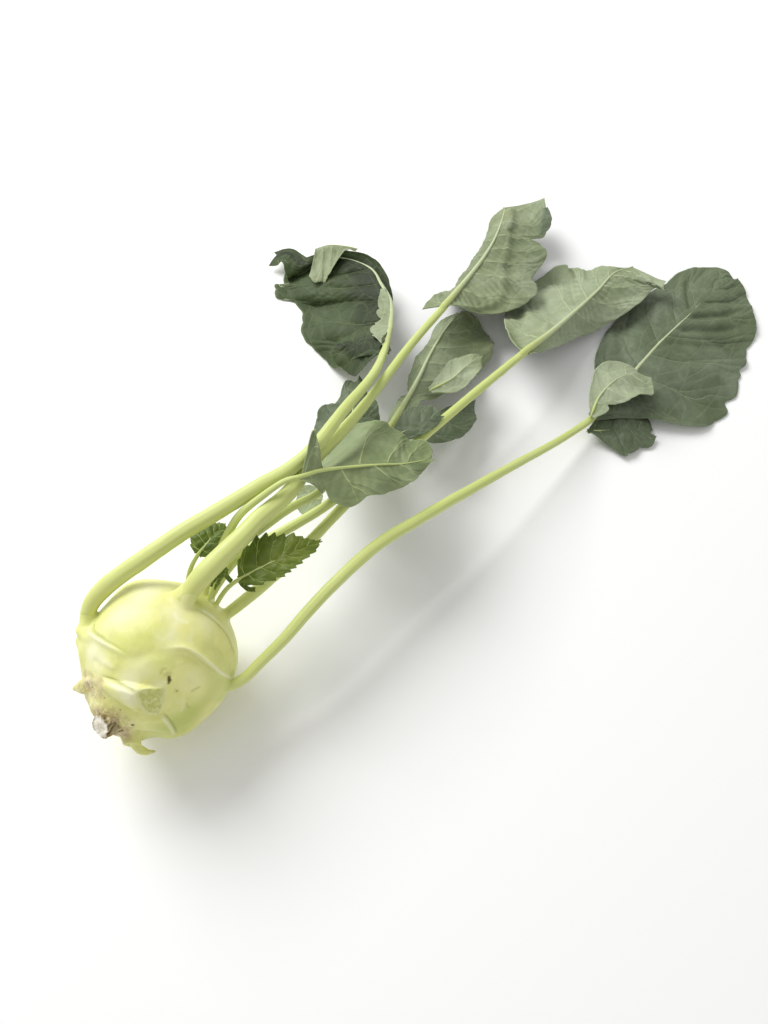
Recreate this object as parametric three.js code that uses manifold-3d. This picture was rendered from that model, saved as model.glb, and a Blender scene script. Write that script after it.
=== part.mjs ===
// Kohlrabi as picked, lying on its side: a round pale green bulb with the leaf stalks
// still on it, seven large leaves, three young toothed leaves, and the stub of the root.
// Millimetres, +Z up, the leaves along +Y. The floor is z = 0.
import * as THREE from "three";
import { mergeVertices } from "three/addons/utils/BufferGeometryUtils.js";
import Module from "manifold-3d";

const wasm = await Module();
wasm.setup();

// Driving dimensions
const BULB_RADIUS = 33.3;
const BULB_CENTRE = new THREE.Vector3(0.5, 1.5, 32.8);
const JOINT_GAP = 0.35;
const BLADE_HALF = 0.45;
const LYING_HEIGHT = 0.6;
const MIDDLE = { x: 0.8, y: 172.5 };
const UP = new THREE.Vector3(0, 0, 1);

// Colours
const COLOURS = {
  bulb: ["#dfe5a2", 0.45],
  stalk: ["#c3d277", 0.45],
  root: ["#b59a76", 0.9],
  upper: ["#66725a", 0.6],
  under: ["#929d7f", 0.65],
  young: ["#5f8434", 0.55],
};

// ---------- small helpers ----------

function vector([x, y, z]) {
  return new THREE.Vector3(x, y, z);
}

function route(points) {
  return new THREE.CatmullRomCurve3(points.map(vector), false, "centripetal");
}

// A smooth value along a leaf from a few values evenly spaced from its foot to its tip.
function profile(values) {
  if (typeof values === "number") return () => values;
  const curve = new THREE.SplineCurve(values.map((value, i) => new THREE.Vector2(i, value)));
  return (t) => curve.getPoint(t).y;
}

function material(kind, name) {
  const [color, roughness] = COLOURS[kind];
  return new THREE.MeshStandardMaterial({ name, color, roughness, metalness: 0 });
}

function piece(name, kind, geometry) {
  const mesh = new THREE.Mesh(geometry, material(kind, kind));
  mesh.name = name;
  return mesh;
}

// ---------- solids ----------

function solidOf(geometry) {
  const plain = geometry.clone();
  plain.deleteAttribute("normal");
  plain.deleteAttribute("uv");
  const merged = mergeVertices(plain, 1e-4);
  return new wasm.Manifold(new wasm.Mesh({
    numProp: 3,
    vertProperties: Float32Array.from(merged.attributes.position.array),
    triVerts: Uint32Array.from(merged.index.array),
  }));
}

function geometryOf(solid) {
  const mesh = solid.getMesh();
  const geometry = new THREE.BufferGeometry();
  geometry.setAttribute("position", new THREE.BufferAttribute(mesh.vertProperties, 3));
  geometry.setIndex(new THREE.BufferAttribute(mesh.triVerts, 1));
  geometry.computeVertexNormals();
  return geometry;
}

// A closed skin over rings of equal length, with each end closed to its middle point.
function loft(rings) {
  const sides = rings[0].length;
  const points = rings.flat();
  const index = [];
  for (let i = 0; i + 1 < rings.length; i++) {
    for (let j = 0; j < sides; j++) {
      const a = i * sides + j;
      const b = i * sides + (j + 1) % sides;
      index.push(a, b, b + sides, a, b + sides, a + sides);
    }
  }
  for (const [ring, first, inward] of [[rings[0], 0, true], [rings.at(-1), points.length - sides, false]]) {
    const middle = ring.reduce((sum, p) => sum.add(p), new THREE.Vector3()).divideScalar(sides);
    const tip = points.length;
    points.push(middle);
    for (let j = 0; j < sides; j++) {
      const a = first + j;
      const b = first + (j + 1) % sides;
      index.push(...(inward ? [b, a, tip] : [a, b, tip]));
    }
  }
  const geometry = new THREE.BufferGeometry().setFromPoints(points);
  geometry.setIndex(index);
  geometry.computeVertexNormals();
  return geometry;
}

// The directions across a route: to its left, and upwards square to it.
function across(tangent) {
  const left = new THREE.Vector3().crossVectors(UP, tangent).normalize();
  const up = new THREE.Vector3().crossVectors(tangent, left);
  return [left, up];
}

// How far along a path one of its points lies.
function reach(path, index) {
  const parts = 400;
  return path.getLengths(parts)[Math.round(index / (path.points.length - 1) * parts)];
}

// A stretch of a path, from one length along it to another.
function stretch(path, from, to) {
  const whole = path.getLength();
  const at = (t) => Math.min((from + (to - from) * t) / whole, 1);
  return {
    point: (t) => path.getPointAt(at(t)),
    tangent: (t) => path.getTangentAt(at(t)),
  };
}

// A round or oval rod along a stretch; width and height are its half sizes along the way.
function rod({ along, width, height = width, sides = 8, steps = 16 }) {
  const wide = profile(width);
  const high = profile(height);
  const rings = [];
  for (let i = 0; i <= steps; i++) {
    const t = i / steps;
    const centre = along.point(t);
    const [left, up] = across(along.tangent(t));
    const ring = [];
    for (let j = 0; j < sides; j++) {
      const angle = (j + 0.5) / sides * Math.PI * 2;
      ring.push(centre.clone()
        .addScaledVector(left, Math.cos(angle) * wide(t))
        .addScaledVector(up, Math.sin(angle) * high(t)));
    }
    rings.push(ring);
  }
  return loft(rings);
}

// ---------- leaf blades ----------

// One half of a blade at one place along the midrib: points from the rib to the margin.
// The half leaves the rib at the angle lift and has turned by curl more at its margin.
function halfRow({ centre, tangent, left, up, side, half, t, fractions, ribHalf }) {
  const rake = THREE.MathUtils.degToRad(profile(half.rake)(t));
  const lift = THREE.MathUtils.degToRad(profile(half.lift)(t));
  const curl = THREE.MathUtils.degToRad(profile(half.curl ?? 0)(t));
  const tooth = half.teeth ? 1 + 0.16 * Math.sin(t * half.teeth * Math.PI * 2) : 1;
  const width = Math.max(profile(half.width)(t) * tooth, ribHalf + 0.8);
  const outward = left.clone().multiplyScalar(side * Math.cos(rake))
    .addScaledVector(tangent, Math.sin(rake));
  const row = [];
  const place = centre.clone();
  let reached = 0;
  for (const fraction of fractions) {
    const next = ribHalf + (width - ribHalf) * fraction;
    const angle = lift + curl * (reached + next) / 2 / width;
    const direction = fraction > 0 ? outward : left.clone().multiplyScalar(side);
    place.addScaledVector(direction, Math.cos(angle) * (next - reached));
    place.addScaledVector(up, Math.sin(angle) * (next - reached));
    const ripple = half.ripple[0] * (next / width) ** 2
      * Math.sin(Math.PI * 2 * half.ripple[1] * t + side + half.ripple[1]);
    const point = place.clone()
      .addScaledVector(outward, -Math.sin(angle) * ripple)
      .addScaledVector(up, Math.cos(angle) * ripple);
    point.z = Math.max(point.z, LYING_HEIGHT);
    row.push(point);
    reached = next;
  }
  return row;
}

// Directions square to a sheet of points.
function sheetNormals(rows) {
  return rows.map((row, i) => row.map((point, j) => {
    const along = new THREE.Vector3().subVectors(
      rows[Math.min(i + 1, rows.length - 1)][j], rows[Math.max(i - 1, 0)][j]);
    const sideways = new THREE.Vector3().subVectors(
      row[Math.max(j - 1, 0)], row[Math.min(j + 1, row.length - 1)]);
    return along.cross(sideways).normalize();
  }));
}

// A closed slab round a sheet of points, thicker at the midrib in its middle column.
function slab(rows, ribOf) {
  const count = rows.length;
  const columns = rows[0].length;
  const middle = (columns - 1) / 2;
  const normals = sheetNormals(rows);
  const points = [];
  for (const face of [1, -1]) {
    rows.forEach((row, i) => row.forEach((point, j) => {
      const thick = BLADE_HALF + (j === middle ? ribOf(i / (count - 1), face) : 0);
      points.push(point.clone().addScaledVector(normals[i][j], face * thick));
    }));
  }
  const at = (i, j, face) => face * count * columns + i * columns + j;
  const index = [];
  const quad = (a, b, c, d) => index.push(a, b, c, a, c, d);
  for (let i = 0; i + 1 < count; i++) {
    for (let j = 0; j + 1 < columns; j++) {
      quad(at(i, j, 0), at(i, j + 1, 0), at(i + 1, j + 1, 0), at(i + 1, j, 0));
      quad(at(i, j, 1), at(i + 1, j, 1), at(i + 1, j + 1, 1), at(i, j + 1, 1));
    }
    quad(at(i, 0, 0), at(i + 1, 0, 0), at(i + 1, 0, 1), at(i, 0, 1));
    const last = columns - 1;
    quad(at(i, last, 1), at(i + 1, last, 1), at(i + 1, last, 0), at(i, last, 0));
  }
  for (let j = 0; j + 1 < columns; j++) {
    quad(at(0, j, 1), at(0, j + 1, 1), at(0, j + 1, 0), at(0, j, 0));
    quad(at(count - 1, j, 0), at(count - 1, j + 1, 0), at(count - 1, j + 1, 1), at(count - 1, j, 1));
  }
  const geometry = new THREE.BufferGeometry().setFromPoints(points);
  geometry.setIndex(index);
  geometry.computeVertexNormals();
  return geometry;
}

// A leaf blade: its midrib route, its two halves, the radius of the rib at its foot, and
// which face looks up. The rib stands proud on the underside.
function blade({ along, left, right, foot, face, steps = 16, columns = 4 }) {
  const fractions = Array.from({ length: columns + 1 }, (_, i) => i / columns);
  const rows = [];
  for (let i = 0; i <= steps; i++) {
    const t = i / steps;
    const centre = along.point(t);
    const tangent = along.tangent(t);
    const [leftward, up] = across(tangent);
    const ribHalf = foot * (1 - 0.75 * t);
    const shared = { centre, tangent, left: leftward, up, t, fractions, ribHalf };
    const leftRow = halfRow({ ...shared, side: 1, half: left });
    const rightRow = halfRow({ ...shared, side: -1, half: right });
    centre.z = Math.max(centre.z, LYING_HEIGHT);
    rows.push([...leftRow.reverse(), centre, ...rightRow]);
  }
  const proud = (t, side) => (foot - BLADE_HALF) * (1 - t) ** 0.8 * (side * face < 0 ? 1 : 0.35);
  return slab(rows, proud);
}

// ---------- the leaves ----------

// One leaf: the axis of its stalk and midrib, from inside the bulb to its tip; the axis
// points where the foot on the bulb ends and where the blade starts, counted from 0; the
// half sizes of the foot and of the stalk; and the two halves of the blade.
const LEAVES = {
  leaf_1: {
    axis: [[4, -7.5, 63.6], [-6, -9.6, 62.6], [-16, -11, 57.8], [-23, -11.5, 52.4], [-27, -7.5, 52.5],
      [-29, 0, 56], [-29, 8, 59.5], [-28, 14, 61], [-23, 29, 65], [-18, 43, 67], [-11, 61, 69],
      [-5, 80, 70], [0, 95, 70.5], [2, 108, 72.2], [-1, 133, 70.5], [-8, 162, 59],
      [-21, 188, 41], [-28, 200, 34], [-37, 215, 28], [-49, 230, 23], [-63, 239, 20],
      [-76, 246, 18], [-97, 244, 15],
      [-111, 242, 12], [-118, 236, 9]],
    footTo: 6, bladeFrom: 16,
    foot: { width: [1, 1.6, 3, 5, 5, 4], height: [1, 1.6, 3, 4, 4, 3.9] },
    stalk: { width: [3.9, 3.7, 3.4, 2.9, 2.3, 2], steps: 22 },
    left: { width: [3, 47, 62, 63, 67, 60, 44, 37, 28], rake: [25, 17, 14, 30, 38, 54, 62, 70, 80],
      lift: [-20, -43, -26, -20, -15, -15, -17, -14, -10], ripple: [3, 3] },
    right: { width: [2, 8, 20, 20, 10, 10, 22, 26, 16], rake: [0, 5, 10, 20, 25, 20, 10, 0, 0],
      lift: [-20, -85, -110, -105, -30, 60, 105, 110, 110], curl: [0, 0, 0, 0, 40, 80, 90, 90, 90],
      ripple: [0.6, 3] },
    face: 1, steps: 20, columns: 5,
  },
  leaf_2: {
    axis: [[-2, 6, 60], [0, 18, 58], [1, 27, 60], [2, 35, 64], [3, 45, 66], [4, 57, 67], [4, 69, 67],
      [5, 81, 66], [5, 90, 65.5], [3.6, 98, 65], [2.8, 108, 65.2], [2, 130, 62.5], [-4, 160, 53],
      [-12, 198, 43], [-18, 238, 33], [-21, 255, 28], [-24, 274, 24], [-27, 291, 21],
      [-31, 308, 19], [-37, 325, 17], [-43, 338, 15]],
    footTo: 3, bladeFrom: 14,
    foot: { width: [4, 6.6, 6.6, 4.7], height: [3, 5.4, 5.6, 4.4] },
    stalk: { width: [4.6, 3.8, 2.9, 2.3, 2.2, 2], steps: 20 },
    left: { width: [2, 20, 26, 24, 24, 22, 18, 12, 2], rake: [-30, 0, 20, 30, 30, 30, 35, 45, 60],
      lift: [-10, -10, -30, -50, -55, -55, -50, -40, -20], ripple: [2, 3] },
    right: { width: [2, 8, 28, 33, 36, 36, 28, 26, 22], rake: [-20, 5, 20, 25, 25, 20, 10, 5, 5],
      lift: [-5, -10, -10, -8, -8, -8, -5, 0, 5], ripple: [2.5, 3] },
    face: -1,
  },
  leaf_3: {
    axis: [[6, 20, 30], [9, 32, 32], [11, 40, 33], [16, 70, 35], [18, 113, 36], [25, 162, 38],
      [32, 218, 36], [34, 239, 33], [36, 261, 28], [37, 287, 22], [38, 313, 18], [38, 334, 15],
      [43, 347, 12]],
    footTo: 2, bladeFrom: 7,
    foot: { width: [5, 3.8, 2.9], height: [5, 3.6, 2.8] },
    stalk: { width: [2.8, 2.6, 2.5, 2.3, 2], steps: 16 },
    left: { width: [2, 20, 38, 39, 34, 25, 17, 9, 2], rake: [-30, -5, 15, 30, 35, 35, 40, 50, 70],
      lift: [0, -10, -22, -22, -20, -18, -15, -10, 0], ripple: [3, 4] },
    right: { width: [2, 10, 20, 24, 26, 28, 29, 28, 18], rake: [0, 20, 30, 35, 35, 35, 35, 30, 30],
      lift: [-20, -50, -60, -50, -35, -18, -5, 3, 5], ripple: [2, 3] },
    face: -1,
  },
  leaf_4: {
    axis: [[10, 2.6, 64], [17.5, 7.8, 59.4], [24.5, 9.4, 52], [28.8, 9, 42], [32.3, 9.5, 32.6],
      [36, 16, 32.5], [38, 26, 37], [40.5, 40, 42], [41.5, 56, 45.5], [43, 75, 47], [46, 99, 46],
      [52, 121, 43],
      [60, 152, 36], [68, 185, 26], [75, 215, 16], [80, 242, 9], [82, 262, 8], [82, 287, 7],
      [83, 313, 6], [86, 338, 6], [89, 365, 5], [94, 384, 3]],
    footTo: 5, bladeFrom: 15,
    foot: { width: [1, 1.8, 3.4, 6, 5.4, 3.4], height: [1, 1.8, 3, 4, 4.4, 3.3] },
    stalk: { width: [3.3, 3, 2.8, 2.5, 2.1, 1.9], steps: 22 },
    left: { width: [2, 13, 27, 34, 33, 32, 30, 18, 2], rake: [-35, 0, 20, 30, 35, 40, 45, 55, 75],
      lift: -9, ripple: [1.2, 3] },
    right: { width: [2, 20, 52, 58, 53, 47, 36, 19, 2], rake: [-20, -5, 5, 25, 35, 40, 45, 55, 75],
      lift: -6, ripple: [1.6, 4] },
    face: 1,
  },
  leaf_5: {
    axis: [[1, 24, 42], [1, 30, 46], [-1, 38, 51], [-2, 46, 56], [-4, 57, 62], [-3.5, 65, 67.5],
      [0, 77, 71.5], [4, 87.5, 74], [8, 92.5, 74.5], [11, 101, 71], [17.5, 113, 65], [26, 125, 60],
      [32, 134, 55], [38, 147, 48]],
    footTo: 3, bladeFrom: 8,
    foot: { width: [3.4, 2.4, 2.1] },
    stalk: { width: [2.1, 1.9, 1.8, 1.6], steps: 14 },
    left: { width: [22, 25, 13, 5, 16, 32, 36, 36, 34, 32, 28, 24, 20, 15, 11, 7, 2],
      rake: [34, 38, 38, 20, 5, 15, 25, 28, 30, 33, 35, 38, 40, 45, 50, 60, 70],
      lift: [28, 34, 40, -50, -58, -46, -32, -24, -18, -14, -12, -10, -10, -8, -6, -4, 0],
      ripple: [0.6, 3] },
    right: { width: [2, 8, 18, 21, 18, 16, 12, 7, 2], rake: [-20, -15, 5, 25, 35, 40, 45, 55, 70],
      lift: [-20, -25, -20, -15, -12, -10, -8, -5, 0], ripple: [1, 3] },
    face: -1,
  },
  leaf_6: {
    axis: [[-2, 24, 38], [-3, 31, 40.5], [-3, 37, 44], [-2, 46, 48.5], [-1, 57, 52], [2, 68, 54],
      [6, 85, 54.6], [10, 99, 52.5], [7, 115, 47.5], [4, 123, 43], [-2, 132, 39], [-10, 146, 34],
      [-21, 163, 26], [-31, 177, 19]],
    footTo: 2, bladeFrom: 9,
    foot: { width: [3.6, 3, 2.5] },
    stalk: { width: [2.4, 2.2, 1.9, 1.6], steps: 12 },
    left: { width: [2, 8, 14, 18, 18, 14, 10, 8, 2], rake: [-45, -30, -10, 0, 10, 20, 30, 45, 60],
      lift: -8, ripple: [3, 3] },
    right: { width: [2, 8, 14, 16, 16, 13, 10, 8, 2], rake: [-45, -30, -10, 0, 10, 20, 30, 45, 60],
      lift: -12, ripple: [3, 3] },
    face: 1,
  },
  leaf_7: {
    axis: [[0, 24, 34], [-1, 35, 36], [-2, 41, 37.5], [-2, 56, 41], [6, 76, 43], [14, 102, 43],
      [15, 123, 41], [12, 139, 39], [8, 156, 36], [2, 178, 30], [-3, 195, 26], [-10, 215, 20],
      [-16, 236, 14], [-20, 257, 8]],
    footTo: 2, bladeFrom: 8,
    foot: { width: [3.8, 3.1, 2.6] },
    stalk: { width: [2.5, 2.4, 2.1, 1.8], steps: 14 },
    left: { width: [2, 10, 14, 16, 16, 14, 12, 8, 2], rake: [-10, 0, 20, 30, 30, 30, 35, 45, 60],
      lift: [-30, -55, -60, -60, -55, -45, -35, -20, 0], ripple: [1.5, 3] },
    right: { width: [2, 6, 8, 20, 30, 34, 32, 22, 2], rake: [-30, -10, 10, 20, 25, 30, 35, 45, 60],
      lift: [-10, -15, -15, -12, -12, -10, -8, -5, 0], ripple: [3, 4] },
    face: -1,
  },
  young_leaf_1: {
    axis: [[6.5, 25, 40], [7.5, 31, 43.5], [8, 36, 48], [9, 40, 51.5], [11.5, 45, 55], [16, 54, 57.5],
      [22, 67, 58], [27, 80, 55]],
    footTo: 2, bladeFrom: 4,
    foot: { width: [1.6, 1.3, 1.1] },
    stalk: { width: [1.1, 0.9], sides: 6, steps: 4 },
    left: { width: [1, 9, 14, 13, 11, 9, 6, 3, 1], rake: [-20, 0, 20, 30, 35, 40, 45, 55, 70],
      lift: 6, ripple: [0.6, 4], teeth: 7 },
    right: { width: [1, 6, 8, 9, 8, 7, 6, 4, 1], rake: [-20, 0, 20, 30, 35, 40, 45, 55, 70],
      lift: -4, ripple: [0.6, 4], teeth: 7 },
    face: 1, steps: 21, columns: 2,
  },
  young_leaf_2: {
    axis: [[-5, 25, 44], [-7, 30, 47], [-9, 34, 50], [-10, 38, 53], [-10.5, 43, 55], [-10.5, 47, 56],
      [-11, 53, 56], [-12, 60, 54]],
    footTo: 2, bladeFrom: 4,
    foot: { width: [1.6, 1.3, 1.1] },
    stalk: { width: [1.1, 0.9], sides: 6, steps: 4 },
    left: { width: [2, 6, 8, 8, 7, 6, 5, 3, 1], rake: [-30, -10, 10, 20, 30, 35, 45, 60, 75],
      lift: 0, ripple: [0.4, 3], teeth: 5 },
    right: { width: [2, 4, 5, 5, 5, 5, 4, 3, 1], rake: [-30, -10, 10, 20, 30, 35, 45, 60, 75],
      lift: -4, ripple: [0.4, 3], teeth: 5 },
    face: 1, steps: 15, columns: 2,
  },
  young_leaf_3: {
    axis: [[4, 25, 42], [4.5, 30, 46], [4.5, 34, 50], [4.5, 36, 52], [4.5, 38, 54.5], [5.5, 43, 58]],
    footTo: 2, bladeFrom: 3,
    foot: { width: [1.4, 1.2, 1] },
    stalk: { width: [1, 0.9], sides: 6, steps: 2 },
    left: { width: [1, 2.4, 2.8, 2, 1], rake: [0, 20, 30, 40, 60], lift: 20, ripple: [0.2, 2], teeth: 4 },
    right: { width: [1, 2.4, 2.8, 2, 1], rake: [0, 20, 30, 40, 60], lift: 20, ripple: [0.2, 2], teeth: 4 },
    face: 1, steps: 8, columns: 1,
  },
};

// Small lobes that stand on the stalk below the main blade of a leaf.
const LOBES = {
  leaf_4_lobe_1: {
    axis: [[79, 240, 13], [77, 252, 16], [79, 264, 18], [85, 278, 15]],
    left: { width: [2, 7, 9, 7, 2], rake: [0, 10, 20, 35, 60], lift: 0, ripple: [1, 2] },
    right: { width: [3, 13, 18, 16, 2], rake: [0, 10, 20, 35, 60], lift: 0, ripple: [1, 2] },
    foot: 0.9, face: -1,
  },
  leaf_4_lobe_2: {
    axis: [[83, 236, 5], [90, 240, 4.5], [100, 247, 3.5], [112, 254, 2.5]],
    left: { width: [2, 9, 12, 9, 2], rake: [0, 10, 20, 35, 60], lift: -4, ripple: [0.6, 2] },
    right: { width: [3, 12, 14, 9, 2], rake: [-10, 0, 20, 35, 60], lift: -6, ripple: [1, 2] },
    foot: 0.9, face: 1,
  },
  leaf_6_lobe: {
    axis: [[8, 103, 38], [4, 101, 37], [-1, 97, 35]],
    left: { width: [2, 6, 8, 6, 2], rake: [0, 10, 20, 35, 60], lift: 0, ripple: [0.5, 2] },
    right: { width: [2, 6, 8, 6, 2], rake: [0, 10, 20, 35, 60], lift: 0, ripple: [0.5, 2] },
    foot: 0.8, face: -1,
  },
  leaf_7_lobe_1: {
    axis: [[14, 150, 41], [18, 155, 44], [22, 163, 45], [26, 173, 43]],
    left: { width: [2, 8, 9, 7, 2], rake: [0, 10, 20, 35, 60], lift: -4, ripple: [0.6, 2] },
    right: { width: [2, 5, 6, 5, 2], rake: [0, 10, 20, 35, 60], lift: -6, ripple: [0.6, 2] },
    foot: 0.8, face: 1,
  },
  leaf_7_lobe_2: {
    axis: [[8, 190, 30], [13, 203, 31], [14, 213, 31], [15, 225, 28]],
    left: { width: [2, 7, 9, 7, 2], rake: [0, 10, 20, 35, 60], lift: -4, ripple: [1, 2] },
    right: { width: [2, 7, 8, 7, 2], rake: [0, 10, 20, 35, 60], lift: -8, ripple: [1, 2] },
    foot: 0.8, face: -1,
  },
  leaf_7_lobe_3: {
    axis: [[17, 165, 27], [23, 176, 25], [25, 194, 20], [24, 208, 14]],
    left: { width: [2, 7, 9, 8, 2], rake: [0, 10, 20, 35, 60], lift: -10, ripple: [1, 2] },
    right: { width: [2, 9, 11, 8, 2], rake: [0, 10, 20, 35, 60], lift: -10, ripple: [1.2, 3] },
    foot: 0.8, face: 1,
  },
};

// What is left, grown into the bulb, of leaves that were cut or torn away: a cut foot on
// top, and a torn flap below and to the left of the root.
const OLD_FEET = {
  cut: { points: [[-3, -21, 54.5], [5, -20.6, 56.6], [12, -18.6, 57], [19, -15, 55.4]],
    width: [1.4, 3.4, 5.4, 6.8], height: [1, 1.8, 2.6, 3.2] },
  torn_below: {
    points: [[12, -25, 34], [15, -30, 30], [19, -33, 27.5], [22.5, -31.5, 26.5], [26, -28, 25.5]],
    width: [5, 4.4, 3.4, 2.4, 1], height: [1.8, 1.6, 1.4, 1.2, 0.8] },
  torn_left: { points: [[-7, -24, 48], [-11, -28, 44.5], [-15.5, -31.5, 40.5]],
    width: [4, 3, 0.9], height: [1.8, 1.4, 0.7] },
};

const ROOT = {
  points: [[2, -26, 45], [4.4, -33, 43.4], [7.6, -38.4, 41.4]], width: [7.8, 6.4, 4.2], sides: 12,
};

function makeFoot({ axis, footTo, foot, stalk }) {
  const path = route(axis);
  const sides = stalk.sides ?? 12;
  return rod({ ...foot, sides, along: stretch(path, 0, reach(path, footTo)), steps: 10 });
}

function makeStalk({ axis, footTo, bladeFrom, stalk }) {
  const path = route(axis);
  return rod({ ...stalk, along: stretch(path, reach(path, footTo) + JOINT_GAP, reach(path, bladeFrom)) });
}

function makeBlade(leaf) {
  const path = route(leaf.axis);
  const along = stretch(path, reach(path, leaf.bladeFrom) + JOINT_GAP, path.getLength());
  return blade({ ...leaf, along, foot: leaf.stalk.width.at(-1) });
}

function makeLobe(lobe) {
  const path = route(lobe.axis);
  return blade({ ...lobe, along: stretch(path, 0, path.getLength()), steps: 8, columns: 2 });
}

// ---------- the bulb ----------

function ball(radius) {
  return solidOf(new THREE.SphereGeometry(radius, 36, 20)
    .rotateX(Math.PI / 2)
    .translate(...BULB_CENTRE));
}

function grown({ points, width, height, sides = 10 }) {
  const path = route(points);
  return solidOf(rod({ along: stretch(path, 0, path.getLength()), width, height, sides, steps: 6 }));
}

// The bulb with the broad feet of its leaves, flat where it rests.
function makeBulb() {
  const feet = [...Object.values(LEAVES).map((leaf) => solidOf(makeFoot(leaf))),
    ...Object.values(OLD_FEET).map(grown)];
  const below = new THREE.BoxGeometry(200, 200, 60).translate(0, 0, -30);
  const whole = feet.reduce((sum, foot) => sum.add(foot), ball(BULB_RADIUS));
  return geometryOf(whole.subtract(solidOf(below)));
}

function makeRoot() {
  return geometryOf(grown(ROOT).subtract(ball(BULB_RADIUS + JOINT_GAP)));
}

const kohlrabi = new THREE.Group();
const plant = new THREE.Group();
plant.position.set(-MIDDLE.x, -MIDDLE.y, 0);
kohlrabi.add(plant);

function skinOf(name, face) {
  if (name.startsWith("young")) return "young";
  return face > 0 ? "upper" : "under";
}

plant.add(piece("bulb", "bulb", makeBulb()));
for (const [name, leaf] of Object.entries(LEAVES)) {
  plant.add(piece(`${name}_stalk`, "stalk", makeStalk(leaf)));
  plant.add(piece(`${name}_blade`, skinOf(name, leaf.face), makeBlade(leaf)));
}
for (const [name, lobe] of Object.entries(LOBES)) {
  plant.add(piece(name, skinOf(name, lobe.face), makeLobe(lobe)));
}
plant.add(piece("root_stub", "root", makeRoot()));

export default kohlrabi;
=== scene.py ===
import math

import bpy
import numpy as np
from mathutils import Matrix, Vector, noise


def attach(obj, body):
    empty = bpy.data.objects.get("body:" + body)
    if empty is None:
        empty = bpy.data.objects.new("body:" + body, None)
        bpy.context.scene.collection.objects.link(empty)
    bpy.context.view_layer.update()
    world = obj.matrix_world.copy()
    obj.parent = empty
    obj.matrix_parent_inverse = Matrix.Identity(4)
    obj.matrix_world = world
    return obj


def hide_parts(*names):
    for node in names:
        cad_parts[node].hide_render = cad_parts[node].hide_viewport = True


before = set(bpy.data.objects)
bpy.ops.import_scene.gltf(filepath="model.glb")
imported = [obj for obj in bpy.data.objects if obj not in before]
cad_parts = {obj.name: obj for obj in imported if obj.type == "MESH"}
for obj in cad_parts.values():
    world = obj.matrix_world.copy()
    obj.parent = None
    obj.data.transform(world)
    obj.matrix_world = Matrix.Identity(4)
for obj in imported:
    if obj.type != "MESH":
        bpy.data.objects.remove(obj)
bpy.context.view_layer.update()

# The tables are in millimetres from the spot where the bulb rests: +Y along the leaves,
# +Z up. MIDDLE is the place of the frame's origin in them.
MIDDLE = np.array([0.8, 172.5, 0.0])
MM = 0.001
UP = np.array([0.0, 0.0, 1.0])
BULB_CENTRE = np.array([0.5, 1.5, 32.8])
BULB_RADIUS = 33.3
LYING_HEIGHT = 0.45
LEAF_THICKNESS = 0.5
# How finely a route is followed between two of its points, and the lines and the feet on
# the bulb from end to end.
STEPS_PER_SPAN = 40
MARKS_ON_A_LINE = 100
MARKS_ON_A_FOOT = 40
# In metres: how near two points are to be closed into one, and the bulb's mesh width.
SEAM_REACH = 0.00002
BULB_MESH_WIDTH = 0.000495

# ---------- the leaves' routes and sizes ----------


def half(width, rake, lift, ripple, **more):
    """One half of a blade, in values evenly spaced from its foot to its tip: how wide it is,
    how far it leans to the tip and how far it lifts, in degrees, and the height and the
    number of its ripples. More may be how far the margin curls, in degrees, how many
    scallops or teeth it has and their depth, its notches (where, how deep, how wide), how
    high its wrinkles pucker, its creases (their course across it, how high, how wide), its
    pleats (where, how deep, how wide) and its dips (where along and across, how deep, how
    wide)."""
    return dict(width=width, rake=rake, lift=lift, ripple=ripple, **more)


# Rakes that several blades share.
LOBE_RAKE = [0, 10, 20, 35, 60]
YOUNG_RAKE = [-20, 0, 20, 30, 35, 40, 45, 55, 70]
STEEP_YOUNG_RAKE = [-30, -10, 10, 20, 30, 35, 45, 60, 75]
SPREAD_RAKE = [-45, -30, -10, 0, 10, 20, 30, 45, 60]
BUD_RAKE = [0, 20, 30, 40, 60]

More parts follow.
